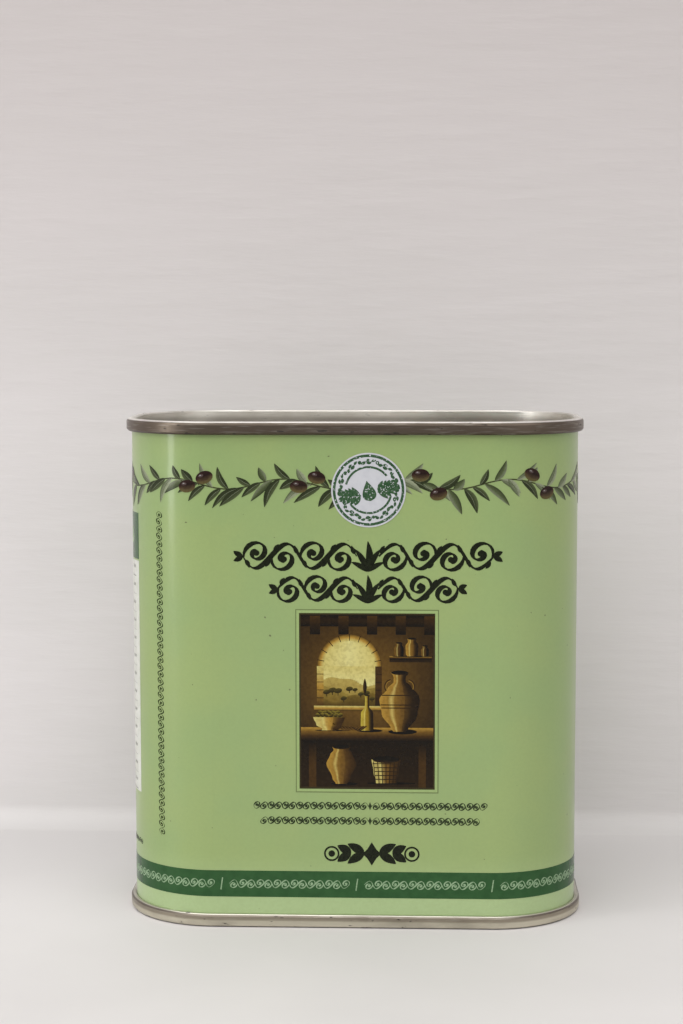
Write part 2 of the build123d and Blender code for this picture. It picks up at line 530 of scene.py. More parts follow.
@dataclass(frozen=True)
class PaintedInk:
    """Print in many colours, which its strokes carry, mottled as a screened picture is."""

    name: str
    patch: float = 0.5 * MM
    depth: float = 0.25
    wash: Colour = WHITE
    shadow: Colour = tint(176, 166, 150)
    glow: Colour = tint(120, 104, 74)

    def material(self) -> Material:
        """Build the material.

        Returns:
            The strokes' own colours, with darker and lighter grains.
        """
        shader = Shader(self.name)
        laid = shader.add("ShaderNodeVertexColor", {"layer_name": INK_LAYER}).outputs["Color"]
        ink = shader.blend(1.0, laid, self.wash, Mode.TIMES)
        mottle = shader.noise(self.patch, 4.0)
        darker = shader.blend(1.0, ink, self.shadow, Mode.TIMES)
        lighter = shader.blend(self.depth * 0.3, ink, self.glow, Mode.PLUS)
        colour = shader.blend((1 - mottle.above(0.3, 0.6)) * (self.depth + 0.05), ink, darker)
        colour = shader.blend(mottle.above(0.5, 0.8) * self.depth, colour, lighter)
        return shader.dress_print(colour, mottle)


@dataclass(frozen=True)
class Moulding:
    """Moulded plastic with a faint grain."""

    name: str
    colour: Colour
    shade: Colour
    roughness: float = 0.38
    subsurface: float = 0.0
    cloud_size: float = 6 * MM
    grain_size: float = 0.25 * MM
    grain_depth: float = 0.006 * MM
    glow_reach: float = 2 * MM

    def material(self) -> Material:
        """Build the material.

        Returns:
            The plastic.
        """
        shader = Shader(self.name)
        cloud = shader.noise(self.cloud_size, 3.0)
        grain = shader.noise(self.grain_size, 2.0)
        shader.bump(grain, self.grain_depth)
        return shader.dress(
            Base_Color=shader.blend(cloud.above(0.35, 0.7) * 0.6, self.colour, self.shade),
            Roughness=grain * 0.15 + self.roughness,
            Subsurface_Weight=self.subsurface,
            Subsurface_Scale=self.glow_reach,
        )


@dataclass(frozen=True)
class BodyWall:
    """The outside of the body, unrolled: along from the middle of the front, up from the base."""

    half_width: float = TIN_WIDTH / 2 - SEAM_OVERHANG
    half_depth: float = TIN_DEPTH / 2 - SEAM_OVERHANG
    corner: float = SEAM_CORNER - SEAM_OVERHANG

    @property
    def flat(self) -> float:
        """Half the flat part of the front."""
        return self.half_width - self.corner

    @property
    def flank(self) -> float:
        """Half the flat part of a flank."""
        return self.half_depth - self.corner

    @property
    def bend(self) -> float:
        """How far a corner takes along the wall."""
        return math.pi / 2 * self.corner

    @property
    def flank_middle(self) -> float:
        """How far the middle of a flank lies from the middle of the front."""
        return self.flat + self.bend + self.flank

    @property
    def half_round(self) -> float:
        """Half the way round the body."""
        return 2 * self.flank_middle

    def at(self, along: float, up: float, lift: float) -> Vector:
        """A point on or just over the wall.

        Args:
            along: Way round from the middle of the front, positive to the right.
            up: Height above the base.
            lift: How far it stands off the wall.

        Returns:
            The point in the part's space.
        """
        way = (along + self.half_round) % (2 * self.half_round) - self.half_round
        side = 1 if way >= 0 else -1
        rest = abs(way)
        back = rest > self.flank_middle
        if back:
            rest = self.half_round - rest
        reach = self.corner + lift
        if rest <= self.flat:
            x, y = rest, self.half_depth + lift
        elif rest <= self.flat + self.bend:
            turn = (rest - self.flat) / self.corner
            x, y = self.flat + reach * math.sin(turn), self.flank + reach * math.cos(turn)
        else:
            x, y = self.half_width + lift, self.flank - (rest - self.flat - self.bend)
        return Vector((side * x, y if back else -y, up))


@dataclass
class Stroke:
    """A printed stroke: its line, how far it spreads to each side, and its tones."""

    line: list[Point]
    spread: list[float]
    closed: bool = False
    level: int = 0
    tones: Optional[Painting] = None

    def tone(self, step: int) -> Tones:
        """The colours across the stroke at a step, white where it has none.

        Args:
            step: Place in the line. One triple of tones serves the whole stroke.

        Returns:
            Left, middle and right colour.
        """
        if self.tones is None:
            return (WHITE, WHITE, WHITE)
        return self.tones[min(step, len(self.tones) - 1)]


@dataclass
class Print:
    """Thin closed ink shapes laid on the body wall, joined into one piece."""

    wall: BodyWall
    ink_height: float = 0.03 * MM
    level_height: float = 0.006 * MM
    root: float = 0.02 * MM
    layers: int = 18
    ring: int = 6
    strokes: list[Stroke] = field(default_factory=list)

    def lay(self, *strokes: Stroke) -> None:
        """Add strokes, each a hair over the one before."""
        self.strokes += strokes

    def build(self, name: str, material: Material) -> Object:
        """Make the mesh.

        Args:
            name: The piece's name.
            material: Its finish.

        Returns:
            The new object.
        """
        vertices: list[Vector] = []
        normals: list[Vector] = []
        colours: list[float] = []
        faces: list[tuple[int, ...]] = []
        for number, stroke in enumerate(self.strokes):
            start = len(vertices)
            layer = stroke.level + number % self.layers / self.layers
            lift = self.ink_height + layer * self.level_height
            self._add_points(stroke, lift, vertices, normals, colours)
            faces += self._cover(stroke, start)
        mesh = bpy.data.meshes.new(name)
        mesh.from_pydata(vertices, [], faces)
        mesh.materials.append(material)
        layer = mesh.color_attributes.new(INK_LAYER, "FLOAT_COLOR", "POINT")
        layer.data.foreach_set("color", colours)
        mesh.shade_smooth()
        mesh.normals_split_custom_set_from_vertices(normals)
        return link_piece(name, mesh)

    def _add_points(
        self,
        stroke: Stroke,
        lift: float,
        vertices: list[Vector],
        normals: list[Vector],
        colours: list[float],
    ) -> None:
        """Add the points of one stroke: three across at each step, over and under.

        Args:
            stroke: The stroke.
            lift: How far its top stands off the wall.
            vertices: Where its points go.
            normals: Where their normals go, square to the wall.
            colours: Where their colours go.
        """
        for step, (along, up) in enumerate(stroke.line):
            run, rise = self._heading(stroke, step)
            across = (-rise * stroke.spread[step], run * stroke.spread[step])
            for share, colour in zip((1, 0, -1), stroke.tone(step)):
                here = (along + across[0] * share, up + across[1] * share)
                top = self.wall.at(*here, lift)
                outward = (self.wall.at(*here, lift + MM) - top).normalized()
                vertices += [top, self.wall.at(*here, -self.root)]
                normals += [outward, outward]
                colours += [*colour, *colour]

    def _heading(self, stroke: Stroke, step: int) -> Point:
        """Unit direction of a stroke at a step, also where it runs round the back.

        Args:
            stroke: The stroke.
            step: Place in its line.

        Returns:
            The direction along and up.
        """
        count = len(stroke.line)
        before = stroke.line[step - 1] if step or stroke.closed else stroke.line[0]
        after = stroke.line[(step + 1) % count] if step < count - 1 or stroke.closed else stroke.line[-1]
        run, rise = after[0] - before[0], after[1] - before[1]
        if abs(run) > self.wall.half_round:
            run -= math.copysign(2 * self.wall.half_round, run)
        length = math.hypot(run, rise) or 1.0
        return (run / length, rise / length)

    def _cover(self, stroke: Stroke, start: int) -> list[tuple[int, ...]]:
        """Close one stroke's ribbon. Even points of a ring lie over the wall, odd ones under it.

        Args:
            stroke: The stroke.
            start: Number of its first point.

        Returns:
            Its faces.
        """
        count = len(stroke.line)
        faces: list[tuple[int, ...]] = []
        for step in range(count if stroke.closed else count - 1):
            a, b = start + self.ring * step, start + self.ring * ((step + 1) % count)
            faces += [
                (a + 2, b + 2, b, a),
                (a + 4, b + 4, b + 2, a + 2),
                (a + 1, b + 1, b + 3, a + 3),
                (a + 3, b + 3, b + 5, a + 5),
                (a, b, b + 1, a + 1),
                (a + 5, b + 5, b + 4, a + 4),
            ]
        if not stroke.closed:
            end = start + self.ring * (count - 1)
            faces += [
                (start + 1, start + 3, start + 2, start),
                (start + 3, start + 5, start + 4, start + 2),
                (end, end + 2, end + 3, end + 1),
                (end + 2, end + 4, end + 5, end + 3),
            ]
        return faces


def link_piece(name: str, mesh: bpy.types.Mesh) -> Object:
    """Put a mesh in the scene.

    Args:
        name: The piece's name.
        mesh: Its mesh.

    Returns:
        The new object.
    """
    piece = bpy.data.objects.new(name, mesh)
    bpy.context.scene.collection.objects.link(piece)
    return piece


def shares(count: int) -> list[float]:
    """Even steps from 0 to 1, both ends included."""
    return [step / (count - 1) for step in range(count)]


def shaded(colour: Colour, factor: float) -> Colour:
    """A lighter or darker version of a colour."""
    return (colour[0] * factor, colour[1] * factor, colour[2] * factor, 1.0)


def mixed(one: Colour, other: Colour, share: float) -> Colour:
    """A colour part of the way from one to the other."""
    return tuple(a + (b - a) * share for a, b in zip(one, other))


def even(colour: Colour) -> list[Tones]:
    """The tones of a stroke in one colour."""
    return [(colour, colour, colour)]


def leaning(lean: float, side: int) -> float:
    """The angle of what leans up from the right, or as far from the left on the other side."""
    return math.radians(lean if side > 0 else 180 - lean)


def turn_point(point: Point, angle: float, origin: Point) -> Point:
    """Turn and move a point of a motif.

    Args:
        point: Place in the motif.
        angle: Turn, in radians.
        origin: Where the motif's own origin goes.

    Returns:
        The place on the wall.
    """
    c, s = math.cos(angle), math.sin(angle)
    return (origin[0] + point[0] * c - point[1] * s, origin[1] + point[0] * s + point[1] * c)


def profile(stops: Sequence[Point], share: float) -> float:
    """A smooth value between stops.

    Args:
        stops: Pairs of share and value, in order.
        share: Where to read it.

    Returns:
        The value there.
    """
    for (x0, y0), (x1, y1) in zip(stops, stops[1:]):
        if share <= x1:
            part = max(0.0, (share - x0) / (x1 - x0))
            return y0 + (y1 - y0) * part * part * (3 - 2 * part)
    return stops[-1][1]


def leaf(
    base: Point,
    angle: float,
    length: float,
    spread: float,
    curl: float,
    level: int = 0,
    tones: Optional[Painting] = None,
) -> Stroke:
    """A slender leaf.

    Args:
        base: Where it leaves the twig.
        angle: The way it points, in radians.
        length: From base to tip.
        spread: Half its width at the widest.
        curl: How far its middle bows, as a share of the length.
        level: Its layer of ink.
        tones: Its colours across.

    Returns:
        The leaf as one stroke.
    """
    steps, tip_share, fullness = shares(11), 0.05, 0.85
    line = [turn_point((t * length, curl * length * math.sin(math.pi * t)), angle, base) for t in steps]
    swell = [math.sin(math.pi * min(1.0, t**fullness)) ** fullness for t in steps]
    widths = [spread * (tip_share + (1 - tip_share) * share) for share in swell]
    return Stroke(line, widths, level=level, tones=tones)


def oval(
    centre: Point,
    angle: float,
    half_long: float,
    half_short: float,
    level: int = 0,
    tones: Optional[Painting] = None,
) -> Stroke:
    """A filled oval, with more steps where it is a large one.

    Args:
        centre: Its middle.
        angle: The way its long axis points, in radians.
        half_long: Half its length.
        half_short: Half its width.
        level: Its layer of ink.
        tones: Its colours across.

    Returns:
        The oval as one stroke.
    """
    large, least_share = 4 * MM, 0.03
    count = 33 if half_long > large else 13
    steps = [-math.cos(math.pi * t) for t in shares(count)]
    line = [turn_point((t * half_long, 0), angle, centre) for t in steps]
    widths = [half_short * max(least_share, math.sqrt(max(0.0, 1 - t * t))) for t in steps]
    return Stroke(line, widths, level=level, tones=tones)


def hoop(
    centre: Point,
    radius: float,
    spread: float,
    start: float = 0.0,
    sweep: float = 360.0,
    level: int = 1,
    tones: Optional[Painting] = None,
) -> Stroke:
    """A ring or an arc.

    Args:
        centre: Its middle.
        radius: To the middle of the line.
        spread: Half the line's width.
        start: Where an arc starts, in degrees.
        sweep: How far it goes, in degrees.
        level: Its layer of ink.
        tones: Its colours across.

    Returns:
        The ring as one stroke.
    """
    closed, step_angle, least = sweep >= 360, 5, 9
    count = max(least, int(sweep / step_angle))
    turns = [math.radians(start + sweep * step / (count if closed else count - 1)) for step in range(count)]
    line = [(centre[0] + radius * math.cos(a), centre[1] + radius * math.sin(a)) for a in turns]
    return Stroke(line, [spread] * count, closed, level, tones)


def bar(
    left: float, right: float, low: float, high: float, level: int = 0, tones: Optional[Painting] = None
) -> Stroke:
    """An upright rectangle on the wall, cut each millimetre so that it follows the corners.

    Args:
        left: Start along the wall.
        right: End along the wall.
        low: Lower edge.
        high: Upper edge.
        level: Its layer of ink.
        tones: Its colours, upper edge first.

    Returns:
        The rectangle as one stroke.
    """
    count = max(2, int((right - left) / MM) + 1)
    line = [(left + (right - left) * t, (low + high) / 2) for t in shares(count)]
    return Stroke(line, [(high - low) / 2] * count, level=level, tones=tones)


def lozenge(centre: Point, half_long: float, half_high: float, level: int = 0) -> Stroke:
    """A diamond with sides that bow in a little.

    Args:
        centre: Its middle.
        half_long: Half its length along the wall.
        half_high: Half its height.
        level: Its layer of ink.

    Returns:
        The diamond as one stroke.
    """
    tip, waist_share = 0.03 * MM, 0.38
    line = [(centre[0] + half_long * t, centre[1]) for t in (-1, -0.5, 0, 0.5, 1)]
    widths = [tip, half_high * waist_share, half_high, half_high * waist_share, tip]
    return Stroke(line, widths, level=level)


def place_all(pieces: Iterable[Object], body: Body) -> None:
    """Ride each piece on its body and report it.

    Args:
        pieces: The objects.
        body: The body that carries them.
    """
    for piece in pieces:
        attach(piece, body.value)
        log.info("%s rides on %s: %d faces", piece.name, body.value, len(piece.data.polygons))


@dataclass(frozen=True)
class RunningScroll:
    """A vine that waves along a row and throws a spiral into each hollow, as a broad pen draws it.

    Shares along the row are of a cell, and shares across it are of the row's height.
    """

    cell: float
    height: float
    weight: float
    slant: float = 0.16
    leaves: bool = True
    pen: float = math.radians(-28)
    thin_share: float = 0.3
    wave_share: float = 0.4
    branch_share: float = 0.96
    eye_share: float = 0.53
    eye_drop_share: float = 0.1
    core_share: float = 0.14
    curl: float = math.radians(500)
    sprout_leans: tuple[Point, ...] = ((0.06, 66), (0.9, 118))

    def strokes(self, start: Point, angle: float, cells: int, flip: int = 1, level: int = 0) -> list[Stroke]:
        """Draw the row.

        Args:
            start: Where the row begins, at its middle height.
            angle: The way it runs, in radians.
            cells: How many hollows it has.
            flip: 1 to run onwards, -1 to run back.
            level: Its layer of ink.

        Returns:
            Its strokes.
        """
        sides = [1 if number % 2 == 0 else -1 for number in range(cells)]
        lines = [self._vine(cells)] + [self._spiral(number, side) for number, side in enumerate(sides)]
        drawn = []
        for line in lines:
            drawn.append(self._pen_stroke([self._put(point, start, angle, flip) for point in line], level))
        bead = self.weight * 1.05
        for number, side in enumerate(sides):
            eye = self._put(self._eye(number, side), start, angle, flip)
            drawn.append(oval(eye, angle, bead, bead, level + 1))
            if self.leaves:
                drawn += self._sprout(number, side, start, angle, flip, level + 1)
        return drawn

    def _put(self, point: Point, start: Point, angle: float, flip: int) -> Point:
        """Place a point of the row on the wall, leaning it as it goes."""
        return turn_point((flip * point[0] + self.slant * point[1], point[1]), angle, start)

    def _eye(self, number: int, side: int) -> Point:
        """The middle of a spiral in the row."""
        return ((number + self.eye_share) * self.cell, -side * self.height * self.eye_drop_share)

    def _wave(self, share: float) -> float:
        """How far the vine stands off the row's middle, at a share of a cell."""
        return self.height * self.wave_share * math.sin(math.pi * share)

    def _vine(self, cells: int) -> list[Point]:
        """The waving line, twelve steps to a cell."""
        return [(cells * self.cell * t, self._wave(cells * t)) for t in shares(cells * 12 + 1)]

    def _spiral(self, number: int, side: int) -> list[Point]:
        """The branch that leaves the vine and curls into its hollow.

        Args:
            number: Which hollow.
            side: 1 where the vine runs over it, -1 where it runs under.

        Returns:
            The branch's line.
        """
        eye = self._eye(number, side)
        run = (number + self.branch_share) * self.cell - eye[0]
        rise = side * self._wave(self.branch_share) - eye[1]
        first = math.atan2(rise * side, run)
        line = []
        for t in shares(26):
            turn = first - t * self.curl
            radius = math.hypot(run, rise) * ((1 - t) ** 1.15 * (1 - self.core_share) + self.core_share)
            line.append((eye[0] + radius * math.cos(turn), eye[1] + side * radius * math.sin(turn)))
        return line

    def _sprout(
        self, number: int, side: int, start: Point, angle: float, flip: int, level: int
    ) -> list[Stroke]:
        """Small leaves that fill the corners where vine and row's edge part.

        Args:
            number: Which hollow.
            side: 1 where the vine runs over it, -1 where it runs under.
            start: Where the row begins.
            angle: The way it runs, in radians.
            flip: 1 to run onwards, -1 to run back.
            level: Which layer of ink they lie on.

        Returns:
            The leaves.
        """
        drawn = []
        for share, lean in self.sprout_leans:
            foot = ((number + share) * self.cell, side * self._wave(share))
            base = self._put(foot, start, angle, flip)
            way = angle + leaning(lean, flip) * side
            drawn.append(leaf(base, way, self.height * 0.3, self.weight * 0.8, 0.08, level))
        return drawn

    def _pen_stroke(self, line: list[Point], level: int) -> Stroke:
        """Give a line the swell of a broad pen, thin at both ends.

        Args:
            line: The line.
            level: Its layer of ink.

        Returns:
            The stroke.
        """
        spread = []
        last = len(line) - 1
        for step in range(len(line)):
            before, after = line[max(0, step - 1)], line[min(last, step + 1)]
            way = math.atan2(after[1] - before[1], after[0] - before[0])
            ends = min(1.0, self.thin_share + 6 * min(step, last - step) / len(line))
            swell = abs(math.sin(way - self.pen)) ** 1.3
            spread.append(self.weight * ends * (self.thin_share + (1 - self.thin_share) * swell))
        return Stroke(line, spread, level=level)


@dataclass
class Garland:
    """A winding olive branch all round the tin."""

    wall: BodyWall
    middle: float = 101.3 * MM
    wave: float = 1.15 * MM
    sprig: float = 26.0 * MM
    start: float = 3.87 * MM
    stem_spread: float = 0.15 * MM
    leaves_per_sprig: int = 15
    leaf_length: float = 7.5 * MM
    leaf_spread: float = 0.82 * MM
    rib_spread: float = 0.045 * MM
    olive_long: float = 2.0 * MM
    olive_short: float = 1.42 * MM
    olive_places: tuple[Point, ...] = ((0.46, 1.75 * MM), (0.62, -1.35 * MM))
    stalk_run: float = 1.4 * MM
    stalk_spread: float = 0.12 * MM
    screen: float = 0.35 * MM
    deep: Colour = tint(50, 57, 36)
    green: Colour = tint(80, 90, 60)
    grey: Colour = tint(118, 126, 102)
    pale: Colour = tint(150, 157, 130)
    bark: Colour = tint(74, 78, 50)
    dark: Colour = tint(34, 22, 20)
    plum: Colour = tint(58, 38, 34)
    unripe: Colour = tint(96, 88, 54)

    def stem(self, way: float) -> float:
        """Height of the stem at a way along."""
        return self.middle + self.wave * math.sin(2 * math.pi * (way - self.start) / self.sprig)

    def build(self) -> list[Object]:
        """Lay stem, leaves and olives, with a whole number of sprigs round the tin.

        Returns:
            The garland's pieces.
        """
        chance = random.Random(23)
        sprigs = round(2 * self.wall.half_round / self.sprig)
        self.sprig = 2 * self.wall.half_round / sprigs
        leaves, fruit = Print(self.wall), Print(self.wall)
        steps = shares(15)
        bark = (self.bark, shaded(self.bark, 0.7), shaded(self.bark, 0.5))
        for number in range(sprigs):
            side = 1 if number < sprigs / 2 else -1
            begin = self.start + number * self.sprig
            line = [(begin + self.sprig * t, self.stem(begin + self.sprig * t)) for t in steps]
            leaves.lay(Stroke(line, [self.stem_spread] * len(steps), tones=[bark]))
            self._leaves(begin, side, leaves, chance)
            for share, rise in self.olive_places:
                way = begin + self.sprig * (share if side > 0 else 1 - share)
                self._olive(way, rise, fruit, chance)
        ink = PaintedInk("garland_ink", self.screen).material()
        return [leaves.build("garland_leaves", ink), fruit.build("garland_olives", ink)]

    def _leaves(self, begin: float, side: int, leaves: Print, chance: random.Random) -> None:
        """Lay the leaves of one sprig, pointing away from the sticker.

        Args:
            begin: Where the sprig starts.
            side: 1 where the branch runs to the right, -1 to the left.
            leaves: Where the strokes go.
            chance: The random draws.
        """
        for place in range(self.leaves_per_sprig):
            share = (place + chance.uniform(0.2, 0.8)) / self.leaves_per_sprig
            way = begin + self.sprig * share
            below = place % 5 in (0, 2, 3)
            lean = -chance.uniform(24, 64) if below else chance.uniform(28, 64)
            full = 0.95 if below else 0.75
            length = self.leaf_length * full * chance.uniform(0.6, 1.1)
            spread = self.leaf_spread * chance.uniform(0.8, 1.15)
            bow = chance.uniform(0.02, 0.12) * (1 if below else -1) * side
            foot = (way, self.stem(way))
            angle = leaning(lean, side)
            tones = self._tones(chance, below)
            leaves.lay(leaf(foot, angle, length, spread, bow, 1 + place % 4, tones))
            rib = self.grey if tones[0][1] is self.deep else self.green
            leaves.lay(leaf(foot, angle, length * 0.9, self.rib_spread, bow, 6, even(rib)))

    def _tones(self, chance: random.Random, below: bool) -> list[Tones]:
        """Pick the two-sided colouring of a leaf: dark face or grey underside.

        Args:
            chance: The random draws.
            below: Whether the leaf hangs below the stem.

        Returns:
            Its tones.
        """
        pick = chance.random()
        if pick < 0.45:
            return [(self.green, self.deep, shaded(self.deep, 0.75))]
        if pick < 0.75:
            return [(self.pale, self.grey, self.green)] if below else [(self.green, self.grey, self.pale)]
        return [(self.deep, self.green, self.grey)]

    def _olive(self, way: float, rise: float, fruit: Print, chance: random.Random) -> None:
        """Hang one olive on a short stalk: dark above, unripe below, with a soft highlight.

        Args:
            way: Where it hangs.
            rise: How far it stands over the stem.
            fruit: Where the strokes go.
            chance: The random draws.
        """
        angle = math.radians(chance.uniform(-24, 24))
        foot = (way - self.stalk_run, self.stem(way))
        centre = (way, foot[1] + rise)
        bark = (self.bark, self.bark, shaded(self.bark, 0.6))
        fruit.lay(Stroke([foot, centre], [self.stalk_spread] * 2, level=7, tones=[bark]))
        dark, plum, unripe = self.dark, self.plum, self.unripe
        layers = (
            (0.0, 0.0, 1.0, (dark, plum, unripe)),
            (0.06, 0.24, 0.76, (mixed(dark, plum, 0.5), dark, mixed(plum, unripe, 0.3))),
            (-0.3, 0.42, 0.3, (plum, mixed(plum, WHITE, 0.06), plum)),
            (-0.34, 0.5, 0.11, (plum, mixed(plum, WHITE, 0.45), plum)),
        )
        for number, (aside, above, size, tones) in enumerate(layers):
            spot = turn_point((self.olive_long * aside, self.olive_short * above), angle, centre)
            long, short = self.olive_long * size, self.olive_short * size
            fruit.lay(oval(spot, angle, long, short, 8 + number, [tones]))


@dataclass
class StampMark:
    """A round pale sticker with worn green rings and a leaf-and-drop device."""

    wall: BodyWall
    centre: Point
    radius: float = 8.35 * MM
    paper_height: float = 0.11 * MM
    print_height: float = 0.12 * MM
    ring_radius: float = 7.7 * MM
    ring_spread: float = 0.3 * MM
    inner_radius: float = 5.15 * MM
    inner_spread: float = 0.24 * MM
    arc_starts: tuple[int, ...] = (38, 218)
    arc_sweep: int = 128
    beads: int = 30
    bead_size: float = 0.42 * MM
    wreath_leaves: tuple[Triple, ...] = ((1.9, 1.25 * MM, 0.36 * MM), (-1.25, 1.1 * MM, 0.3 * MM))
    tilt: float = math.radians(12)
    drop_foot: float = -2.5 * MM
    drop_length: float = 4.6 * MM
    drop_spread: float = 1.55 * MM
    stem_foot: Point = (1.9 * MM, -0.9 * MM)
    stem_run: Point = (4.6 * MM, 0.9 * MM)
    stem_spread: float = 0.16 * MM
    leaf_pairs: int = 5
    leaf_foot: Point = (2.1 * MM, -0.86 * MM)
    leaf_pitch: Point = (0.95 * MM, 0.18 * MM)
    leaf_length: float = 2.7 * MM
    leaf_loss: float = 0.3 * MM
    leaf_spread: float = 0.5 * MM
    paper: Colour = tint(195, 197, 202)

    def build(self, face: str) -> list[Object]:
        """Lay the sticker and its worn print.

        Args:
            face: The face's name, for the pieces.

        Returns:
            Both pieces.
        """
        paper = Print(self.wall, ink_height=self.paper_height)
        paper.lay(oval(self.centre, 0, self.radius, self.radius))
        ink = Print(self.wall, ink_height=self.print_height)
        ink.lay(hoop(self.centre, self.ring_radius, self.ring_spread))
        for start in self.arc_starts:
            ink.lay(hoop(self.centre, self.inner_radius, self.inner_spread, start, self.arc_sweep))
        self._wreath(ink)
        self._drop(ink)
        for side in (1, -1):
            self._sprig(ink, side)
        white = Ink("sticker_paper", self.paper, tint(189, 191, 197), patch=1.5 * MM)
        green = Ink(
            "worn_stamp_ink", tint(44, 74, 48), tint(66, 94, 66), patch=0.5 * MM, worn=0.012, paper=self.paper
        )
        return [
            paper.build(face + "_sticker", white.material()),
            ink.build(face + "_sticker_print", green.material()),
        ]

    def _wreath(self, ink: Print) -> None:
        """Set beads and pairs of small leaves between the rings.

        Args:
            ink: The print they go into.
        """
        middle = (self.ring_radius + self.inner_radius) / 2
        for number in range(self.beads):
            turn = 2 * math.pi * number / self.beads
            spot = turn_point((middle, 0), turn, self.centre)
            if number % 3 == 0:
                ink.lay(oval(spot, turn, self.bead_size, self.bead_size, 1))
                continue
            for lean, length, spread in self.wreath_leaves:
                ink.lay(leaf(spot, turn + lean, length, spread, 0.1, 1))

    def _drop(self, ink: Print) -> None:
        """Draw the drop in the middle, a little tilted.

        Args:
            ink: The print they go into.
        """
        least_share, fullness = 0.03, 0.6
        steps = shares(14)
        places = [(0, t * self.drop_length + self.drop_foot) for t in steps]
        widths = [self.drop_spread * max(least_share, math.sin(math.pi * t**fullness)) for t in steps]
        ink.lay(Stroke([turn_point(place, self.tilt, self.centre) for place in places], widths, level=1))

    def _sprig(self, ink: Print, side: int) -> None:
        """Draw the leafy sprig at one side of the drop.

        Args:
            ink: The print they go into.
            side: 1 for the right one, -1 for the left one.
        """
        stem = []
        for t in shares(6):
            along, up = (foot + run * t for foot, run in zip(self.stem_foot, self.stem_run))
            stem.append(turn_point((side * along, up), self.tilt, self.centre))
        ink.lay(Stroke(stem, [self.stem_spread] * len(stem), level=1))
        for number in range(self.leaf_pairs):
            along, up = (foot + pitch * number for foot, pitch in zip(self.leaf_foot, self.leaf_pitch))
            base = turn_point((side * along, up), self.tilt, self.centre)
            length = self.leaf_length - self.leaf_loss * number
            for lean in (58, -46):
                ink.lay(leaf(base, leaning(lean, side) + self.tilt, length, self.leaf_spread, 0.05, 2))


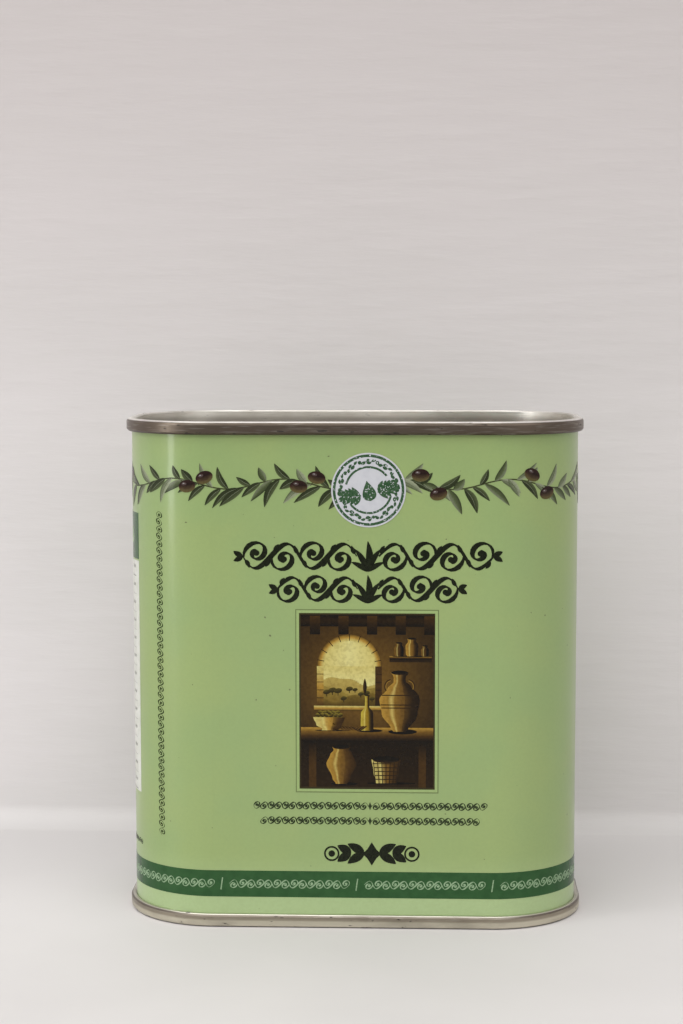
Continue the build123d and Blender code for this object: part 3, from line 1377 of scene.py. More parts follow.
@dataclass
class FramedView:
    """A framed still life in browns and golds: a vaulted room, a window and vessels on a table.

    Shares along it are of its width, and shares up it are of its height.
    """

    wall: BodyWall
    centre: Point
    width: float = 30.6 * MM
    height: float = 40.2 * MM
    border: float = 0.62 * MM
    line: float = 0.22 * MM
    paint_height: float = 0.045 * MM
    inset_share: float = 0.012
    dado_share: float = 0.3
    table_shares: Triple = (0.272, 0.305, 0.352)
    table_foot_share: float = 0.335
    shelf_ends: Point = (0.665, 0.975)
    shelf_shares: Triple = (0.725, 0.742, 0.758)
    window_middle_share: float = 0.37
    window_half_share: float = 0.19
    sill_share: float = 0.475
    spring_share: float = 0.7
    stone: float = 1.5 * MM
    joint: float = 0.09 * MM
    cream: Colour = tint(226, 208, 156)
    gold: Colour = tint(190, 146, 76)
    sand: Colour = tint(126, 91, 44)
    umber: Colour = tint(74, 49, 21)
    brown: Colour = tint(42, 27, 12)
    night: Colour = tint(13, 9, 5)
    view: Print = field(init=False)

    def __post_init__(self) -> None:
        """Start the picture's own print."""
        self.view = Print(self.wall, ink_height=self.paint_height)

    def spot(self, u: float, v: float) -> Point:
        """A place in the view, from shares of its width and height."""
        return (self.centre[0] + (u - 0.5) * self.width, self.centre[1] + (v - 0.5) * self.height)

    def patch(self, ends: Point, rows: Point, level: int, tones: Tones) -> Stroke:
        """A rectangle of the view.

        Args:
            ends: Shares of its left and right edge.
            rows: Shares of its lower and upper edge.
            level: Its layer of ink.
            tones: Its colours, the upper one first.

        Returns:
            The rectangle as one stroke.
        """
        left, low = self.spot(ends[0], rows[0])
        right, high = self.spot(ends[1], rows[1])
        return bar(left, right, low, high, level, [tones])

    def vessel(
        self, foot: Point, height: float, outline: Sequence[Point], tones: Tones, level: int
    ) -> list[Stroke]:
        """A turned vessel seen from the side, with a soft light down its left.

        Args:
            foot: Shares of the view where it stands.
            height: Its height as a share of the view's height.
            outline: Half widths up its height, as shares of that height.
            tones: Left, middle and right colour.
            level: Its layer of ink.

        Returns:
            Its strokes: shadow, body, dark side, light and mouth.
        """
        x, y = self.spot(*foot)
        left, middle, right = tones
        tall = height * self.height
        steps = shares(25)
        half = [tall * profile(outline, t) for t in steps]
        line = [(x, y + tall * t) for t in steps]
        dark_place, dark_spread, light_place, light_spread = 0.62, 0.36, -0.42, 0.17
        deep = [(x + s * dark_place, y + tall * t) for s, t in zip(half, steps)]
        lit = [(x + s * light_place, y + tall * t) for s, t in zip(half, steps)]
        glow = (mixed(left, middle, 0.5), mixed(left, self.cream, 0.55), mixed(left, middle, 0.7))
        dark = (mixed(middle, right, 0.6), right, shaded(right, 0.5))
        mouth = (self.night, self.night, self.brown)
        return [
            oval((x + half[0] * 0.5, y), 0, half[0] * 2.4, tall * 0.045, level, even(self.night)),
            Stroke(line, half, level=level + 1, tones=[tones]),
            Stroke(deep, [s * dark_spread for s in half], level=level + 2, tones=[dark]),
            Stroke(lit, [s * light_spread for s in half], level=level + 2, tones=[glow]),
            oval((x, y + tall), 0, half[-1] * 0.94, half[-1] * 0.24, level + 3, [mouth]),
        ]

    def build(self, face: str) -> list[Object]:
        """Lay the frame and paint the view.

        Args:
            face: The face's name, for the pieces.

        Returns:
            Its pieces.
        """
        edge = Print(self.wall)
        grounds = (
            (self.border + self.line, tint(104, 118, 76)),
            (self.border, tint(149, 171, 112)),
            (0.0, tint(50, 44, 22)),
        )
        for level, (margin, colour) in enumerate(grounds):
            half, tall = self.width / 2 + margin, self.height / 2 + margin
            x, y = self.centre
            edge.lay(bar(x - half, x + half, y - tall, y + tall, level, even(colour)))
        self._room()
        self._window()
        self._shelf()
        self._table()
        self._standing()
        plain_ink = PaintedInk(face + "_frame_ink", depth=0.05)
        ink = PaintedInk(face + "_view_ink", patch=0.7 * MM, depth=0.3, wash=tint(218, 222, 176))
        return [
            edge.build(face + "_view_frame", plain_ink.material()),
            self.view.build(face + "_view", ink.material()),
        ]

    def _room(self) -> None:
        """Paint the plastered wall, lighter round the window, and the beams over it."""
        rows = 14
        ends = (self.inset_share, 1 - self.inset_share)
        tall = 0.99 - self.dado_share
        for row in range(rows):
            low, high = self.dado_share + tall * row / rows, self.dado_share + tall * (row + 1) / rows
            stroke = self.patch(ends, (low, high), 0, (WHITE, WHITE, WHITE))
            stroke.tones = [self._wall_tones(u, low, high) for u in shares(len(stroke.line))]
            self.view.lay(stroke)
        self.view.lay(self.patch(ends, (0.925, 0.99), 2, (self.night, self.brown, self.night)))
        for number in range(5):
            u = 0.08 + 0.21 * number
            self.view.lay(self.patch((u, u + 0.075), (0.88, 0.985), 3, (self.umber, self.brown, self.night)))

    def _wall_tones(self, u: float, low: float, high: float) -> Tones:
        """The plaster's colours where the window's light falls off to all sides.

        Args:
            u: Share along the view.
            low: Share of a row's lower edge.
            high: Share of its upper edge.

        Returns:
            Upper, middle and lower colour.
        """
        glow = [math.exp(-(((u - 0.45) / 0.42) ** 2 + ((v - 0.6) / 0.3) ** 2)) for v in (high, low)]
        upper, lower = (mixed(self.brown, self.sand, share * 0.95) for share in glow)
        return (upper, mixed(upper, lower, 0.5), lower)

    def _window(self) -> None:
        """Paint the arched window, its stones, and what lies beyond it."""
        middle, half = self.window_middle_share, self.window_half_share
        arch = self.spot(middle, self.spring_share)
        left, low = self.spot(middle - half, self.sill_share)
        right = self.spot(middle + half, self.sill_share)[0]
        reach = half * self.width
        light = (self.cream, self.gold, self.umber)
        dark = (self.umber, self.umber, self.brown)
        self.view.lay(hoop(arch, reach + self.stone / 2, self.stone / 2, 0, 180, 4, [light]))
        self.view.lay(bar(left - self.stone, left, low, arch[1], 4, [light]))
        self.view.lay(bar(right, right + self.stone, low, arch[1], 4, [dark]))
        first_joint, joint_angle = 11, 19.7
        for number in range(9):
            turn = math.radians(first_joint + joint_angle * number)
            ends = [turn_point((r, 0), turn, arch) for r in (reach, reach + self.stone)]
            self.view.lay(Stroke(ends, [self.joint] * 2, level=5, tones=even(self.brown)))
        courses, half_joint = 5, 0.08 * MM
        for number in range(1, courses):
            level = low + (arch[1] - low) * number / courses
            for edge in (left - self.stone, right):
                joint = (level - half_joint, level + half_joint)
                self.view.lay(bar(edge, edge + self.stone, *joint, 5, even(self.brown)))
        sky = (tint(226, 208, 158), tint(240, 228, 192), tint(236, 214, 158))
        half_disc = [(arch[0], arch[1] + reach * math.sin(math.pi / 2 * t)) for t in shares(12)]
        least = 0.05 * MM
        widths = [max(least, reach * math.cos(math.pi / 2 * t)) for t in shares(12)]
        self.view.lay(Stroke(half_disc, widths, level=4, tones=[(sky[0], sky[1], sky[0])]))
        self.view.lay(bar(left, right, low, arch[1], 4, [sky]))
        self._hills((left, right), (low, arch[1]))
        self._trees((left, right), (low, arch[1]))
        sill, sill_reach = 1.1 * MM, 2.2 * MM
        stone = (self.cream, self.gold, self.brown)
        self.view.lay(bar(left - sill_reach, right + sill_reach, low - sill, low, 10, [stone]))

    def _hills(self, ends: Point, rows: Point) -> None:
        """Paint three ranges of hills, each filled column by column up to its rolling ridge.

        Args:
            ends: Left and right edge of the opening.
            rows: Its lower edge and where its arch springs.
        """
        hills = (
            (0.62, 0.1, 0.3, (tint(196, 172, 116), tint(176, 150, 94), tint(160, 134, 80))),
            (0.42, 0.12, 2.1, (tint(160, 136, 78), tint(140, 114, 60), tint(124, 98, 50))),
            (0.22, 0.1, 4.0, (tint(126, 102, 50), tint(104, 82, 38), tint(84, 64, 30))),
        )
        columns = 26
        step = (ends[1] - ends[0]) / columns
        low, tall = rows[0], rows[1] - rows[0]
        for level, (top, swell, shift, colours) in enumerate(hills, 5):
            tones = [even(colour)[0] for colour in reversed(colours)]
            for number in range(columns):
                x = ends[0] + step * (number + 0.5)
                waves = math.sin(shift + number * 0.19) + 0.3 * math.sin(shift * 2 + number * 0.5)
                rise = (top + swell * waves) * tall
                line = [(x, low), (x, low + rise * 0.5), (x, low + rise)]
                self.view.lay(Stroke(line, [step / 2] * 3, level=level, tones=tones))

    def _trees(self, ends: Point, rows: Point) -> None:
        """Paint a row of round trees on the hills and one slender tree.

        Args:
            ends: Left and right edge of the opening.
            rows: Its lower edge and where its arch springs.
        """
        chance = random.Random(5)
        wide, tall = ends[1] - ends[0], rows[1] - rows[0]
        crown = (tint(92, 80, 40), tint(66, 56, 26), tint(44, 36, 16))
        first_share, pitch_share = 0.06, 0.11
        for number in range(9):
            x = ends[0] + wide * (first_share + pitch_share * number)
            base = rows[0] + tall * chance.uniform(0.16, 0.42)
            size = chance.uniform(0.55, 0.95) * MM
            trunk = [(x, base - size * 0.9), (x, base)]
            self.view.lay(Stroke(trunk, [self.joint] * 2, level=8, tones=even(self.brown)))
            self.view.lay(oval((x, base + size * 0.3), 0.2, size, size * 0.62, 8, [crown]))
        slender = (ends[0] + wide * 0.8, rows[0] + tall * 0.3)
        tones = [(self.umber, self.brown, self.night)]
        length, spread = 3.6 * MM, 0.42 * MM
        self.view.lay(leaf(slender, math.pi / 2, length, spread, 0.0, 9, tones))

    def _shelf(self) -> None:
        """Paint a shelf with three jars on the right."""
        foot, edge, top = self.shelf_shares
        self.view.lay(self.patch(self.shelf_ends, (edge, top), 4, (self.gold, self.umber, self.night)))
        self.view.lay(self.patch(self.shelf_ends, (foot, edge), 4, (self.night, self.brown, self.brown)))
        outline = ((0, 0.26), (0.12, 0.34), (0.6, 0.36), (0.82, 0.22), (1, 0.25))
        dim, warm = (self.sand, self.umber, self.night), (self.gold, self.sand, self.brown)
        for u, height, tones in ((0.735, 0.075, dim), (0.83, 0.1, warm), (0.925, 0.06, dim)):
            self.view.lay(*self.vessel((u, top), height, outline, tones, 5))

    def _table(self) -> None:
        """Paint the shade below the table, its top and its legs."""
        rows = 5
        ends = (self.inset_share, 1 - self.inset_share)
        tall = self.dado_share - self.inset_share
        for row in range(rows):
            low, high = self.inset_share + tall * row / rows, self.inset_share + tall * (row + 1) / rows
            upper = mixed(self.night, self.brown, 0.9 - 0.16 * row)
            lower = mixed(self.night, self.brown, 1.0 - 0.16 * row)
            self.view.lay(self.patch(ends, (low, high), 1, (upper, upper, lower)))
        foot, edge, top = self.table_shares
        self.view.lay(self.patch(ends, (edge, top), 6, (self.gold, self.sand, self.umber)))
        self.view.lay(self.patch(ends, (foot, edge), 6, (self.umber, self.brown, self.night)))
        for u in (0.07, 0.88):
            leg = ((u, u + 0.055), (self.inset_share, foot))
            self.view.lay(self.patch(*leg, 6, (self.night, self.umber, self.umber)))

    def _standing(self) -> None:
        """Paint what stands below the table and on it."""
        pithos = ((0, 0.15), (0.15, 0.24), (0.55, 0.4), (0.8, 0.3), (0.92, 0.2), (1, 0.24))
        self.view.lay(*self.vessel((0.31, 0.03), 0.21, pithos, (self.gold, self.sand, self.umber), 7))
        self._basket((0.64, 0.035))
        self._amphora((0.74, 0.33))
        bottle = ((0, 0.15), (0.05, 0.18), (0.5, 0.17), (0.68, 0.06), (0.94, 0.055), (1, 0.075))
        oil = (tint(214, 190, 92), tint(160, 128, 40), self.brown)
        self.view.lay(*self.vessel((0.5, self.table_foot_share), 0.2, bottle, oil, 11))
        self._bowl((0.22, self.table_foot_share))

    def _basket(self, foot: Point) -> None:
        """Paint a woven basket.

        Args:
            foot: Shares of the view where it stands.
        """
        woven = ((0, 0.42), (0.5, 0.52), (1, 0.6))
        self.view.lay(*self.vessel(foot, 0.135, woven, (self.cream, self.sand, self.umber), 7))
        x, y = self.spot(*foot)
        tall, pitch, wale = 5.4 * MM, 0.9 * MM, 0.1 * MM
        for row in range(1, 6):
            level = y + row * pitch
            half = tall * profile(woven, row / 6) * 0.96
            tones = [(self.umber, self.brown, self.night)]
            self.view.lay(bar(x - half, x + half, level - wale, level + wale, 11, tones))
        stake_tall, foot_pitch, rim_pitch = 5 * MM, 0.78 * MM, 0.95 * MM
        for column in range(-3, 4):
            stake = [(x + column * foot_pitch, y), (x + column * rim_pitch, y + stake_tall)]
            self.view.lay(Stroke(stake, [self.joint] * 2, level=12, tones=even(self.brown)))

    def _amphora(self, foot: Point) -> None:
        """Paint a tall vessel with two handles and three painted lines.

        Args:
            foot: Shares of the view where it stands.
        """
        outline = (
            (0, 0.1), (0.04, 0.14), (0.3, 0.3), (0.55, 0.34), (0.74, 0.2), (0.84, 0.1), (0.94, 0.1), (1, 0.15)
        )
        x, y = self.spot(*foot)
        handle_place, handle_radius, handle_spread = (1.75 * MM, 10.3 * MM), 1.5 * MM, 0.22 * MM
        clay = [(self.gold, self.umber, self.brown)]
        for side, start in ((1, -80), (-1, 100)):
            centre = (x + side * handle_place[0], y + handle_place[1])
            self.view.lay(hoop(centre, handle_radius, handle_spread, start, 160, 10, clay))
        self.view.lay(*self.vessel(foot, 0.335, outline, (self.gold, self.sand, self.brown), 11))
        tall, line = 13.47 * MM, 0.22 * MM
        for level in (5.3 * MM, 6.0 * MM, 8.2 * MM):
            half = tall * profile(outline, level / tall) * 0.97
            self.view.lay(bar(x - half, x + half, y + level, y + level + line, 14, even(self.brown)))

    def _bowl(self, foot: Point) -> None:
        """Paint a bowl heaped with olives and a cut sprig beside it.

        Args:
            foot: Shares of the view where it stands.
        """
        x, y = self.spot(*foot)
        chance = random.Random(9)
        green = [(tint(150, 132, 60), tint(84, 70, 30), self.night)]
        olive, pitch, stray = (0.62 * MM, 0.44 * MM), 1.02 * MM, 0.2 * MM
        heap, row_rise, top, top_pitch = 2.9 * MM, 0.62 * MM, 4.1 * MM, 0.95 * MM
        for number in range(17):
            row, place = divmod(number, 6)
            along = (place - 2.5) * pitch + chance.uniform(-stray, stray)
            spot = (x + along, y + heap + row_rise * row)
            if row == 2:
                spot = (x + (place - 2) * top_pitch, y + top)
            tilt = chance.uniform(-0.6, 0.6)
            self.view.lay(oval(spot, tilt, *olive, 12 + number % 3, green))
        outline = ((0, 0.55), (0.12, 0.5), (0.4, 0.95), (1, 1.18))
        without_mouth = self.vessel(foot, 0.075, outline, (self.cream, self.gold, self.umber), 15)[:4]
        self.view.lay(*without_mouth)
        tones, leaf_size = [(self.sand, self.umber, self.night)], (1.9 * MM, 0.26 * MM)
        for number in range(6):
            base = self.spot(0.34 + 0.022 * number, 0.336)
            for lean in (34, 150):
                self.view.lay(leaf(base, math.radians(lean), *leaf_size, 0.05, 16, tones))


@dataclass(frozen=True)
class ScrollRow:
    """A row of heavy scrolls: its level and height, half the pen's width, and its cells to each side."""

    level: float
    height: float
    weight: float
    cell: float
    cells: int


@dataclass
class FacePrint:
    """What is printed on a broad face below the garland: scrolls, a framed view, fine rows and a device."""

    wall: BodyWall
    middle: float
    rows: tuple[ScrollRow, ...] = (
        ScrollRow(level=85.1 * MM, height=6.9 * MM, weight=0.62 * MM, cell=6.4 * MM, cells=4),
        ScrollRow(level=77.7 * MM, height=6.4 * MM, weight=0.6 * MM, cell=6.0 * MM, cells=3),
    )
    palmette: tuple[Triple, ...] = (
        (0, 1.0, 0.12), (30, 0.86, 0.1), (-30, 0.86, 0.1), (60, 0.62, 0.085), (-60, 0.62, 0.085)
    )
    gap_share: float = 0.36
    tip_share: float = 0.34
    view_place: Point = (-0.17 * MM, 52.15 * MM)
    fine_rows: tuple[tuple[float, int], ...] = ((28.15 * MM, 16), (24.7 * MM, 15))
    fine_shift: float = 0.5 * MM
    fine_gap: float = 0.5 * MM
    device_place: Point = (0.9 * MM, 17.1 * MM)
    device_half: Point = (2.1 * MM, 2.7 * MM)
    device_leaves: tuple[Point, ...] = ((1.7 * MM, 4.4 * MM), (4.7 * MM, 3.6 * MM))
    device_leaf_spread: float = 1.0 * MM
    bead_place: float = 9.1 * MM
    bead_radius: float = 0.75 * MM
    ring_radius: float = 1.55 * MM
    ring_spread: float = 0.2 * MM

    def fleuron(self, ink: Print, centre: Point, height: float) -> None:
        """A palmette between two rows of scrolls.

        Args:
            ink: The print they go into.
            centre: Its middle.
            height: Its height.
        """
        foot = (centre[0], centre[1] - height * 0.5)
        for lean, length, spread in self.palmette:
            bow = 0.06 if lean > 0 else -0.06
            ink.lay(leaf(foot, math.radians(90 - lean), height * length, height * spread, bow, 1))

    def scroll_row(self, ink: Print, row: ScrollRow) -> None:
        """Scrolls that run out from a palmette to both sides.

        Args:
            ink: The print they go into.
            row: The row's sizes.
        """
        scroll = RunningScroll(row.cell, row.height, row.weight)
        gap = row.height * self.gap_share
        for side in (1, -1):
            ink.lay(*scroll.strokes((self.middle + side * gap, row.level), 0.0, row.cells, side))
            tip = (self.middle + side * (gap + row.cells * row.cell), row.level)
            for lean in (28, -28):
                ink.lay(leaf(tip, leaning(lean, side), row.height * self.tip_share, row.weight, 0.05, 1))
        self.fleuron(ink, (self.middle, row.level), row.height)

    def closing_device(self, ink: Print) -> None:
        """A heavy lozenge between leaves and beads.

        Args:
            ink: The print they go into.
        """
        centre, level = self.middle + self.device_place[0], self.device_place[1]
        ink.lay(lozenge((centre, level), *self.device_half))
        for side in (1, -1):
            for place, length in self.device_leaves:
                base = (centre + side * place, level)
                for lean in (31, -31):
                    way = leaning(lean, side)
                    ink.lay(leaf(base, way, length, self.device_leaf_spread, 0.04 * side, 1))
            bead = (centre + side * self.bead_place, level)
            ink.lay(oval(bead, 0, self.bead_radius, self.bead_radius))
            ink.lay(hoop(bead, self.ring_radius, self.ring_spread))

    def build(self, face: str) -> list[Object]:
        """Print one face.

        Args:
            face: The face's name, for the pieces.

        Returns:
            Its pieces.
        """
        black = Print(self.wall)
        for row in self.rows:
            self.scroll_row(black, row)
        self.closing_device(black)
        fine = Print(self.wall)
        small = RunningScroll(cell=1.62 * MM, height=1.9 * MM, weight=0.19 * MM, slant=0.34, leaves=False)
        centre = self.middle + self.fine_shift
        for level, cells in self.fine_rows:
            for side in (1, -1):
                fine.lay(*small.strokes((centre + side * self.fine_gap, level), 0.0, cells, side))
            fine.lay(lozenge((centre, level), half_long=0.45 * MM, half_high=0.95 * MM, level=1))
        night = Ink("black_ink", tint(14, 20, 6), tint(25, 31, 14), patch=0.5 * MM)
        soft = Ink("fine_ink", tint(44, 54, 32), tint(54, 66, 40), patch=0.5 * MM)
        place = (self.middle + self.view_place[0], self.view_place[1])
        return [
            black.build(face + "_scrolls", night.material()),
            fine.build(face + "_fine_rows", soft.material()),
            *FramedView(self.wall, place).build(face),
        ]


@dataclass
class BaseBand:
    """The dark green band round the foot, with a fine pale scroll along it."""

    wall: BodyWall
    low: float = 6.85 * MM
    high: float = 12.95 * MM
    groups: int = 9
    cells: int = 14
    start: float = 1.2 * MM
    scroll_margin: float = 1.7 * MM
    tick_lean: float = 0.2 * MM
    tick_reach: float = 1.4 * MM
    tick_spread: float = 0.13 * MM

    def build(self) -> list[Object]:
        """Lay the band and its scroll, in groups with an upright tick before each.

        Returns:
            Both pieces.
        """
        ground, chain = Print(self.wall), Print(self.wall)
        round_way = 2 * self.wall.half_round
        count = int(round_way / MM)
        level = (self.low + self.high) / 2
        line = [(round_way * step / count, level) for step in range(count)]
        ground.lay(Stroke(line, [(self.high - self.low) / 2] * count, closed=True))
        group = round_way / self.groups
        cell = (group - 2 * self.scroll_margin) / self.cells
        scroll = RunningScroll(cell, height=2.2 * MM, weight=0.17 * MM, slant=0.28, leaves=False)
        for number in range(self.groups):
            start = self.start + group * number
            chain.lay(*scroll.strokes((start + self.scroll_margin, level), 0.0, self.cells, 1, 2))
            foot = (start - self.tick_lean, level - self.tick_reach)
            head = (start + self.tick_lean, level + self.tick_reach)
            chain.lay(Stroke([foot, head], [self.tick_spread] * 2, level=2))
        green = Ink("band_ink", tint(47, 85, 47), tint(41, 78, 42), patch=2 * MM)
        pale = Ink("band_chain_ink", tint(146, 172, 138), tint(126, 154, 118), patch=0.4 * MM)
        return [ground.build("base_band", green.material()), chain.build("base_band_chain", pale.material())]


@dataclass
class FlankPrint:
    """The ruled panel on the left flank, the upright line beside it and the bare weld on the right."""

    wall: BodyWall
    half_panel: float = 16.1 * MM
    low: float = 28.5 * MM
    split: float = 83.0 * MM
    high: float = 93.7 * MM
    panel_gap: float = 0.4 * MM
    crest_gap: float = 1.4 * MM
    upright_start: Point = (-44.6 * MM, 20 * MM)
    upright_cells: int = 45
    foot_start: Point = (-15.6 * MM, 16.9 * MM)
    foot_cells: int = 25
    rows: int = 13
    inset: float = 2.0 * MM
    heavy_rule: float = 0.16 * MM
    thin_rule: float = 0.07 * MM
    dash_margin: float = 0.6 * MM
    dash_pitch: float = 4.3 * MM
    tick_pitch: float = 0.75 * MM
    tick_length: float = 0.95 * MM
    tick_spread: float = 0.13 * MM
    mark_margin: float = 0.8 * MM
    mark_pitch: float = 0.9 * MM
    mark_rise: float = 0.35 * MM
    mark_size: Point = (0.42 * MM, 0.2 * MM)
    weld_ends: Span = (3.0 * MM, 112.3 * MM)
    weld_height: float = 0.115 * MM
    bare_spread: float = 1.6 * MM
    seam_spread: float = 0.56 * MM

    def build(self) -> list[Object]:
        """Lay header, panel, rules, crest and the upright lines.

        Returns:
            The pieces.
        """
        middle = -self.wall.flank_middle
        left, right = middle - self.half_panel, middle + self.half_panel
        header, panel, rules = Print(self.wall), Print(self.wall), Print(self.wall)
        header.lay(bar(left, right, self.split, self.high))
        panel.lay(bar(left, right, self.low, self.split - self.panel_gap))
        self._rules(rules, left + self.inset, right - self.inset)
        white = Ink("panel_ink", tint(216, 218, 210), tint(206, 208, 198), patch=2 * MM)
        green = Ink("header_ink", tint(47, 85, 47), tint(41, 78, 42), patch=2 * MM)
        pale = Ink("crest_ink", tint(168, 190, 152), tint(150, 174, 134), patch=0.5 * MM)
        fine = Ink("upright_ink", tint(40, 52, 24), tint(52, 64, 32), patch=0.5 * MM).material()
        return [
            header.build("flank_header", green.material()),
            panel.build("flank_panel", white.material()),
            rules.build("flank_rules", fine),
            self._crest(middle).build("flank_crest", pale.material()),
            self._uprights(middle).build("upright_lines", fine),
        ]

    def _crest(self, middle: float) -> Print:
        """Draw a pale scroll to both sides of a lozenge on the header.

        Args:
            middle: The middle of the flank.

        Returns:
            The print.
        """
        crest = Print(self.wall)
        scroll = RunningScroll(cell=3.6 * MM, height=4.4 * MM, weight=0.34 * MM)
        level = (self.split + self.high) / 2
        for side in (1, -1):
            crest.lay(*scroll.strokes((middle + side * self.crest_gap, level), 0.0, 3, side, 2))
        crest.lay(lozenge((middle, level), half_long=0.9 * MM, half_high=2.3 * MM, level=3))
        return crest

    def _uprights(self, middle: float) -> Print:
        """Draw a fine scroll up the tin beside the flank and a finer one along the flank's foot.

        Args:
            middle: The middle of the flank.

        Returns:
            The print.
        """
        upright = Print(self.wall)
        small = RunningScroll(cell=1.66 * MM, height=2.0 * MM, weight=0.155 * MM, slant=0.3, leaves=False)
        upright.lay(*small.strokes(self.upright_start, math.pi / 2, self.upright_cells))
        least = RunningScroll(cell=1.3 * MM, height=1.2 * MM, weight=0.1 * MM, slant=0.3, leaves=False)
        start = (middle + self.foot_start[0], self.foot_start[1])
        upright.lay(*least.strokes(start, 0.0, self.foot_cells))
        return upright

    def _rules(self, ink: Print, left: float, right: float) -> None:
        """Rule the panel, with dashes of uneven length at the left and marks at the right of each row.

        Args:
            ink: The print they go into.
            left: Where the rules start.
            right: Where they end.
        """
        chance = random.Random(4)
        pitch = (self.split - self.low) / self.rows
        for row in range(self.rows):
            level = self.low + pitch * (row + 0.02 if row else 0.08)
            rule = self.heavy_rule if row in (0, self.rows - 1) else self.thin_rule
            ink.lay(bar(left, right, level, level + rule, 1))
            text = level + pitch * 0.45
            for part in range(chance.choice((2, 3, 3))):
                begin = left + self.dash_margin + part * self.dash_pitch
                length = chance.uniform(2.2, 3.8) * MM
                for number in range(int(length / self.tick_pitch) + 1):
                    base = (begin + self.tick_pitch * number, text)
                    lean = math.radians(62 if number % 2 else 20)
                    ink.lay(leaf(base, lean, self.tick_length, self.tick_spread, 0.1, 1))
            for number in range(3):
                mark = (right - self.mark_margin - self.mark_pitch * number, text + self.mark_rise)
                ink.lay(oval(mark, 1.2, *self.mark_size, 1))

    def weld(self) -> list[Object]:
        """Lay the bare strip and the raised seam line where the sheet's edges are welded.

        Returns:
            The piece.
        """
        strip = Print(self.wall, ink_height=self.weld_height)
        line = [(self.wall.flank_middle, up) for up in self.weld_ends]
        strip.lay(Stroke(line, [self.bare_spread] * 2), Stroke(line, [self.seam_spread] * 2, level=5))
        bare, dull, speck = tint(186, 185, 182), tint(158, 155, 149), tint(84, 78, 70)
        steel = AgedTinplate("weld_strip", bare, dull, speck, speck_amount=0.4)
        return [strip.build("side_weld", steel.material())]


@dataclass
class Thread:
    """Two-start threads on a round wall, outward where the crest lies beyond the root."""

    axis: float
    root_radius: float
    crest_radius: float
    low: float
    high: float
    turn: float = 0.0
    lead: float = 6.0 * MM
    starts: int = 2
    root_width: float = 1.3 * MM
    crest_width: float = 0.55 * MM
    end_width: float = 0.02 * MM
    sink: float = 0.12 * MM
    steps: int = 48
    fade_rate: float = 7.0

    def build(self, name: str, material: Material) -> Object:
        """Make the threads as one mesh.

        Args:
            name: The piece's name.
            material: Its finish.

        Returns:
            The new object.
        """
        vertices: list[Vector] = []
        faces: list[tuple[int, ...]] = []
        for start in range(self.starts):
            self._wind(2 * math.pi * start / self.starts + self.turn, vertices, faces)
        mesh = bpy.data.meshes.new(name)
        mesh.from_pydata(vertices, [], faces)
        mesh.materials.append(material)
        mesh.shade_smooth()
        mesh.set_sharp_from_angle(angle=math.radians(40))
        return link_piece(name, mesh)

    def _wind(self, begin: float, vertices: list[Vector], faces: list[tuple[int, ...]]) -> None:
        """Add one thread, faded into the wall at both ends.

        Args:
            begin: Angle where it starts, in radians.
            vertices: Where its points go.
            faces: Where its faces go.
        """
        whole = (self.high - self.low) / self.lead * 2 * math.pi
        outward = 1 if self.crest_radius > self.root_radius else -1
        root = self.root_radius - outward * self.sink
        base = len(vertices)
        count = int(self.steps * whole / (2 * math.pi)) + 1
        for share in shares(count):
            fade = min(1.0, self.fade_rate * share, self.fade_rate * (1 - share))
            turn = begin + whole * share
            level = self.low + (self.high - self.low) * share
            crest = self.root_radius + (self.crest_radius - self.root_radius) * fade
            half_crest = self.crest_width / 2 * fade + self.end_width
            half_root = self.root_width / 2
            ring = ((root, half_root), (crest, half_crest), (crest, -half_crest), (root, -half_root))
            for radius, half in ring:
                x, y = self.axis + radius * math.cos(turn), radius * math.sin(turn)
                vertices.append(Vector((x, y, level + half)))
        for step in range(count - 1):
            for side in range(4):
                a, b = base + 4 * step + side, base + 4 * step + (side + 1) % 4
                face = (a, b, b + 4, a + 4)
                faces.append(face if outward > 0 else face[::-1])
        end = base + 4 * (count - 1)
        caps = [(base + 3, base + 2, base + 1, base), (end, end + 1, end + 2, end + 3)]
        faces += caps if outward > 0 else [cap[::-1] for cap in caps]


@dataclass(frozen=True)
class Lamp:
    """A soft area lamp: where it hangs, what it points at, its width and height, and its power."""

    name: str
    place: Triple
    aim: Triple
    size: Point
    watts: float

    def hang(self) -> None:
        """Put the lamp in the scene."""
        data = bpy.data.lights.new(self.name, "AREA")
        data.shape = "RECTANGLE"
        data.size, data.size_y = self.size
        data.energy = self.watts
        lamp = bpy.data.objects.new(self.name, data)
        lamp.location = self.place
        way = Vector(self.aim) - Vector(self.place)
        lamp.rotation_euler = way.to_track_quat("-Z", "Y").to_euler()
        bpy.context.scene.collection.objects.link(lamp)


